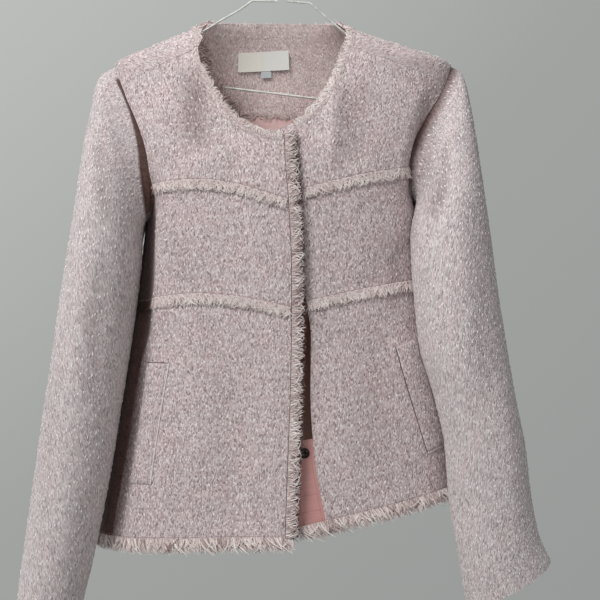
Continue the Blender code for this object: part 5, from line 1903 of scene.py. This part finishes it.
    def underlap(self) -> None:
        """Makes the satin strip inside the left front's edge, with its sewn lines."""
        form, finishes = self.bench.form, self.bench.finishes
        levels = np.linspace(1.0, 2.25, 40)
        edge = form.column("edge_left", levels)
        tucked, free = (
            places(form.turn_at(edge + reach, levels), levels)
            for reach in (self.placket_width, -self.underlap_reach)
        )
        strip = ruled(free, tucked, 16)
        # Painted shade over the whole strip, which lies in the right front's shadow.
        shade = np.full(strip.shape[:2], 0.3)
        shape = self.patch(strip, Side.LEFT, self.inside, SATIN_WALL, shade)
        node = "front_underlap"
        piece = add_piece(node + "_cloth", shape, finishes.underlap, "satin", node, sharp=CLOTH_SHARP)
        runs = [(np.linspace(-28, -2, 24) * MM, level) for level in (1.30, 1.52)]
        runs += [(offset * MM, np.linspace(1.02, 2.2, 24)) for offset in (-22.0, -3.0)]
        threads = []
        for offset, level in runs:
            line = places(form.turn_at(form.column("edge_left", level) + offset, level), level)
            track, _ = form.cloth(line, Side.LEFT, self.inside)
            threads.append(thread(track, STITCH, 5))
        add_piece("underlap_sewing", joined(threads), finishes.pink_thread, "satin")

    def stud(self) -> None:
        """Makes the sewn-on press stud, a dished disc turned about its own axis.

        Its profile is a list of radii and heights, carried round in equal steps.
        """
        form, steps = self.bench.form, 32
        place = form.locate(21 * MM, -559 * MM, Side.LEFT)
        axis = form.normal(*place, Side.LEFT)
        centre = form.point(*place, Side.LEFT) - axis * TWEED_WALL
        profile = np.array(
            [(0, 0.3), (5.3, 0.3), (5.5, 0.55), (5.3, 0.85), (3.6, 1.05), (3.2, 1.5),
             (2.4, 1.9), (1.5, 1.8), (0.9, 1.35), (0, 1.3)]
        ) * MM
        angle = np.linspace(0, 2 * math.pi, steps, endpoint=False)
        sideways = unit(np.cross((0, 0, 1), axis))
        upward = np.cross(axis, sideways)
        spokes = np.cos(angle)[:, None] * sideways + np.sin(angle)[:, None] * upward
        rings = centre + axis * profile[1:-1, 1, None, None] + spokes * profile[1:-1, 0, None, None]
        poles = [centre + axis * profile[0, 1], centre + axis * profile[-1, 1]]
        points = rings.reshape(-1, 3)
        index = np.arange(len(points)).reshape(len(rings), steps)
        skin, caps = lattice_faces(index, True).reshape(-1, 4), cap_faces(index, len(points))
        shape = Geometry(np.concatenate([points, poles]), [skin, caps]).outward()
        add_piece("press_stud_disc", shape, self.bench.finishes.stud, "stud", "press_stud", sharp=35)

    def welts(self) -> None:
        """Makes the slanted pocket welts, each a flat folded strip on the front.

        A welt's face rises as 0.6 + 1.4 sqrt(r) mm, where r grows from 0 at its rims to 1 inside.
        """
        form, finishes = self.bench.form, self.bench.finishes
        for side, top, foot, width, slant in (
            (Side.RIGHT, (-137, -466), (-156, -594), 27, 0.0),
            (Side.LEFT, (128, -444.5), (162.5, -557.5), 24, 0.36),
        ):
            share = np.linspace(0, 1, 60)[:, None]
            over = np.linspace(-0.5, 0.5, 15)[None, :]
            x = (foot[0] + (top[0] - foot[0]) * share + over * width) * MM
            z = (foot[1] + (top[1] - foot[1]) * share + over * width * slant) * MM
            grid = form.locate(x, z, side)
            round_off = np.clip(np.minimum(share, 1 - share) * 60 / 1.5, 0, 1)
            round_off = round_off * np.clip(np.minimum(over + 0.5, 0.5 - over) * 15 / 1.5, 0, 1)
            outer, normals = form.cloth(grid, side, 0.6 * MM + 1.4 * MM * np.sqrt(round_off))
            inner, _ = form.cloth(grid, side, 0.3 * MM)
            uv = form.cloth_lengths(grid, side)
            node = f"pocket_welt_{side.value}"
            shape = wall(outer, inner, uv)
            add_piece(node + "_cloth", shape, finishes.tweed, "tweed", node, sharp=CLOTH_SHARP)
            dots = Slubs(self.welt_pitch, 33).over(outer, normals, uv)
            add_piece(node + "_slubs", dots, finishes.slub, "tweed")
            # The pale cord along one edge stands for that edge catching the light: a painted highlight. The
            # dark thread along another stands for the shadow in the gap beside it: a painted shadow.
            folded, sunk = (outer[:, -1], outer[-1]) if side is Side.RIGHT else (outer[0], outer[:, 0])
            add_piece(node + "_highlight_cord", thread(folded, 0.8 * MM, 8), finishes.slub, "tweed")
            add_piece(node + "_sewing", thread(sunk, 0.5 * MM, 8), finishes.thread, "tweed")

    def build(self) -> None:
        """Makes the whole jacket."""
        finishes = self.bench.finishes
        self.panels()
        self.sleeves()
        self.trims()
        self.hems()
        self.welts()
        self.facing()
        self.lining()
        self.label("neck_label", (-26.0, -124.5), (60.0, 21.0), 1.75, finishes.label)
        self.label("size_tab", (-22.5, -139.0), (12.0, 7.5), 1.5, finishes.tab)
        self.underlap()
        self.stud()


# ---- The hanger ------------------------------------------


@dataclass
class Hanger:
    """A wire hanger: a hook on a straight neck, a twist round it, two arms and a bar."""

    finish: bpy.types.Material
    wire: float = 1.2 * MM
    hook_radius: float = 18 * MM
    corner_radius: float = 8 * MM
    neck_foot: tuple[float, float] = (-3.0, -64.0)
    stem_top: tuple[float, float] = (-0.7, -45.0)
    hook_start: float = math.radians(-48)
    hook_end: float = math.radians(205)
    twist_rounds: int = 4
    twist_rise: float = 14 * MM
    right_arm: tuple[tuple[float, float], ...] = (
        (-8, -68.4), (-36, -67.8), (-51, -78.5), (-71, -89.8), (-90, -101.5), (-180, -148.5),
    )
    left_arm: tuple[tuple[float, float], ...] = ((2.5, -68.4), (28, -70.4), (48.5, -88.5), (166, -187))
    bar: tuple[tuple[float, float], ...] = ((-174, -151.0), (160.5, -191.4))

    def rounded(self, corners: Sequence[tuple[float, float]]) -> Array:
        """Straight runs between corners, each inner corner rounded to an arc.

        Args:
            corners: The corners' x and z, in millimetres.

        Returns:
            Points along the wire, in metres.
        """
        spots = [np.array(corner, float) * MM for corner in corners]
        path = [spots[0][None]]
        for before, corner, after in zip(spots, spots[1:], spots[2:]):
            back, ahead = unit(before - corner), unit(after - corner)
            half = math.acos(float(np.clip(back @ ahead, -1, 1))) / 2
            runs = [np.linalg.norm(end - corner) * 0.49 for end in (before, after)]
            reach = min(self.corner_radius / math.tan(half), *runs)
            centre = corner + unit(back + ahead) * reach / math.cos(half)
            share = np.linspace(0, 1, 9)[:, None]
            first, last = corner + back * reach - centre, corner + ahead * reach - centre
            mixed = first * (1 - share) + last * share
            path.append(centre + unit(mixed) * np.linalg.norm(first))
        path.append(spots[-1][None])
        return np.insert(np.concatenate(path), 1, 0, axis=1)

    def add(self, name: str, path: Array, node: str, sides: int = 14) -> None:
        """Makes a wire along a path."""
        shape = tubes(path[None], np.full((1, len(path)), self.wire), sides).outward()
        add_piece(name, shape, self.finish, "wire", node, sharp=60)

    def build(self) -> None:
        """Makes the hook, the twist, the arms and the bar.

        The hook is an arc, joined to its stem by a cubic curve, and the twist is a helix on it.
        """
        foot, top = np.array(self.neck_foot) * MM, np.array(self.stem_top) * MM
        turns = np.linspace(self.hook_start, self.hook_end, 60)
        arc = np.stack([np.cos(turns), np.sin(turns)], axis=1) * (self.hook_radius + self.wire)
        arc = arc + np.array([0, -self.hook_radius])
        lean = unit(top - foot)
        leave = top + lean * 7 * MM
        heading = np.array([-math.sin(self.hook_start), math.cos(self.hook_start)])
        arrive = arc[0] - heading * 8 * MM
        share = np.linspace(0, 1, 14)[1:-1, None]
        bend = (1 - share) ** 3 * top + 3 * share * (1 - share) ** 2 * leave
        bend = bend + 3 * share**2 * (1 - share) * arrive + share**3 * arc[0]
        stem = foot + (top - foot) * np.linspace(0, 1, 5)[:, None]
        hook = np.concatenate([stem, bend, arc])
        self.add("hook_wire", np.insert(hook, 1, 0, axis=1), "hanger_hook")
        radius = 2 * self.wire + 0.4 * MM
        turn = np.linspace(0, self.twist_rounds * 2 * math.pi, 97)
        along = np.linspace(0, self.twist_rise, 97)
        axis = foot + (top - foot) * 0.12
        x = axis[0] + lean[0] * along + radius * np.cos(turn) * lean[1]
        z = axis[1] + lean[1] * along - radius * np.cos(turn) * lean[0]
        self.add("twist_wire", np.stack([x, radius * np.sin(turn), z], axis=1), "hanger_twist", 10)
        self.add("arm_wire_right", self.rounded(self.right_arm), "hanger_arm_right")
        self.add("arm_wire_left", self.rounded(self.left_arm), "hanger_arm_left")
        ends = np.array([(x, 0, z) for x, z in self.bar]) * MM
        self.add("bar_wire", ruled(ends[:1], ends[1:], 11)[0], "hanger_bar")


# ---- The studio ------------------------------------------


@dataclass
class Studio:
    """A plain pale floor, soft light from the upper left, and the camera."""

    eye: tuple[float, float, float] = (0.0168, -1.16, -0.3992)
    sensor: float = 36.0
    lens: float = 62.86
    surround: Stops = (
        (0.0, "#4C4D4E"), (0.34, "#7E8080"), (0.49, "#989B99"), (0.68, "#A2A4A2"),
        (0.84, "#BCBEBB"), (1.0, "#D0D2CF"),
    )
    bright_way: tuple[float, float, float] = (-0.62, 0.35, 0.70)
    floor_z: float = -1.25
    floor_size: float = 2.2

    @staticmethod
    def place(name: str, data: Any) -> bpy.types.Object:
        """A new object in the scene."""
        holder = bpy.data.objects.new(name, data)
        bpy.context.scene.collection.objects.link(holder)
        return holder

    def light(
        self, name: str, spot: Triple, size: float, power: float, tint: str,
        toward: Triple = (0.0, 0.0, -0.38),
    ) -> None:
        """Adds a square area light.

        Args:
            name: Its name.
            spot: Where it stands.
            size: Its side, in metres.
            power: Its power, in watts.
            tint: Its colour.
            toward: The place that it faces, which is the jacket's middle unless it is given.
        """
        lamp = bpy.data.lights.new(name, "AREA")
        lamp.size = size
        lamp.energy = power
        lamp.color = linear(tint)[:3]
        holder = self.place(name, lamp)
        holder.location = spot
        holder.rotation_euler = (Vector(toward) - Vector(spot)).to_track_quat("-Z", "Y").to_euler()

    def build(self) -> None:
        """Makes the floor, the lights, the surround and the camera."""
        low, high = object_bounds()
        middle = (low + high) / 2
        corners = np.array([(-1, -1), (1, -1), (1, 1), (-1, 1)]) * self.floor_size / 2
        mesh = bpy.data.meshes.new("floor")
        points = [(middle.x + x, middle.y + y, self.floor_z) for x, y in corners]
        mesh.from_pydata(points, [], [(0, 1, 2, 3)])
        mesh.materials.append(PaintedFloor().build())
        self.place("floor", mesh)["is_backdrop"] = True
        world = bpy.data.worlds.new("soft_surround")
        world.use_nodes = True
        tree = world.node_tree
        way = add_node(tree, "TexCoord").outputs["Generated"]
        toward = add_node(tree, "VectorMath", {0: way, 1: self.bright_way}, operation="DOT_PRODUCT")
        span = {"Value": toward.outputs["Value"], "From Min": -1.0, "From Max": 1.0}
        share = add_node(tree, "MapRange", span)
        shade = add_node(tree, "ValToRGB", {0: share}, self.surround)
        tree.links.new(shade.outputs[0], tree.nodes["Background"].inputs["Color"])
        bpy.context.scene.world = world
        self.light("window", (-1.0, -1.35, 1.15), 0.8, 33.0, "#FFFDFA")
        self.light("room", (0.7, -1.9, 0.2), 1.4, 4.0, "#FFFAF6")
        neck, nape = (-0.015, -0.075, -0.12), (-0.015, 0.05, -0.115)
        self.light("neck_bounce", neck, 0.1, 0.026, "#FFF8F4", nape)
        camera = bpy.data.cameras.new("camera")
        camera.sensor_width = self.sensor
        camera.lens = self.lens
        holder = self.place("camera", camera)
        holder.location = self.eye
        holder.rotation_euler = (math.pi / 2, 0, 0)
        bpy.context.scene.camera = holder
        bpy.context.scene.view_settings.view_transform = "Standard"


def main() -> None:
    """Builds the jacket on its hanger round the frame."""
    logging.basicConfig(level=logging.INFO, format="%(message)s")
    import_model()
    Studio().build()
    form = BodyForm(BODY_ROWS)
    bench = Bench(form, Outlines(form), Finishes())
    Jacket(bench).build()
    Hanger(bench.finishes.wire).build()


if __name__ == "__main__":
    main()
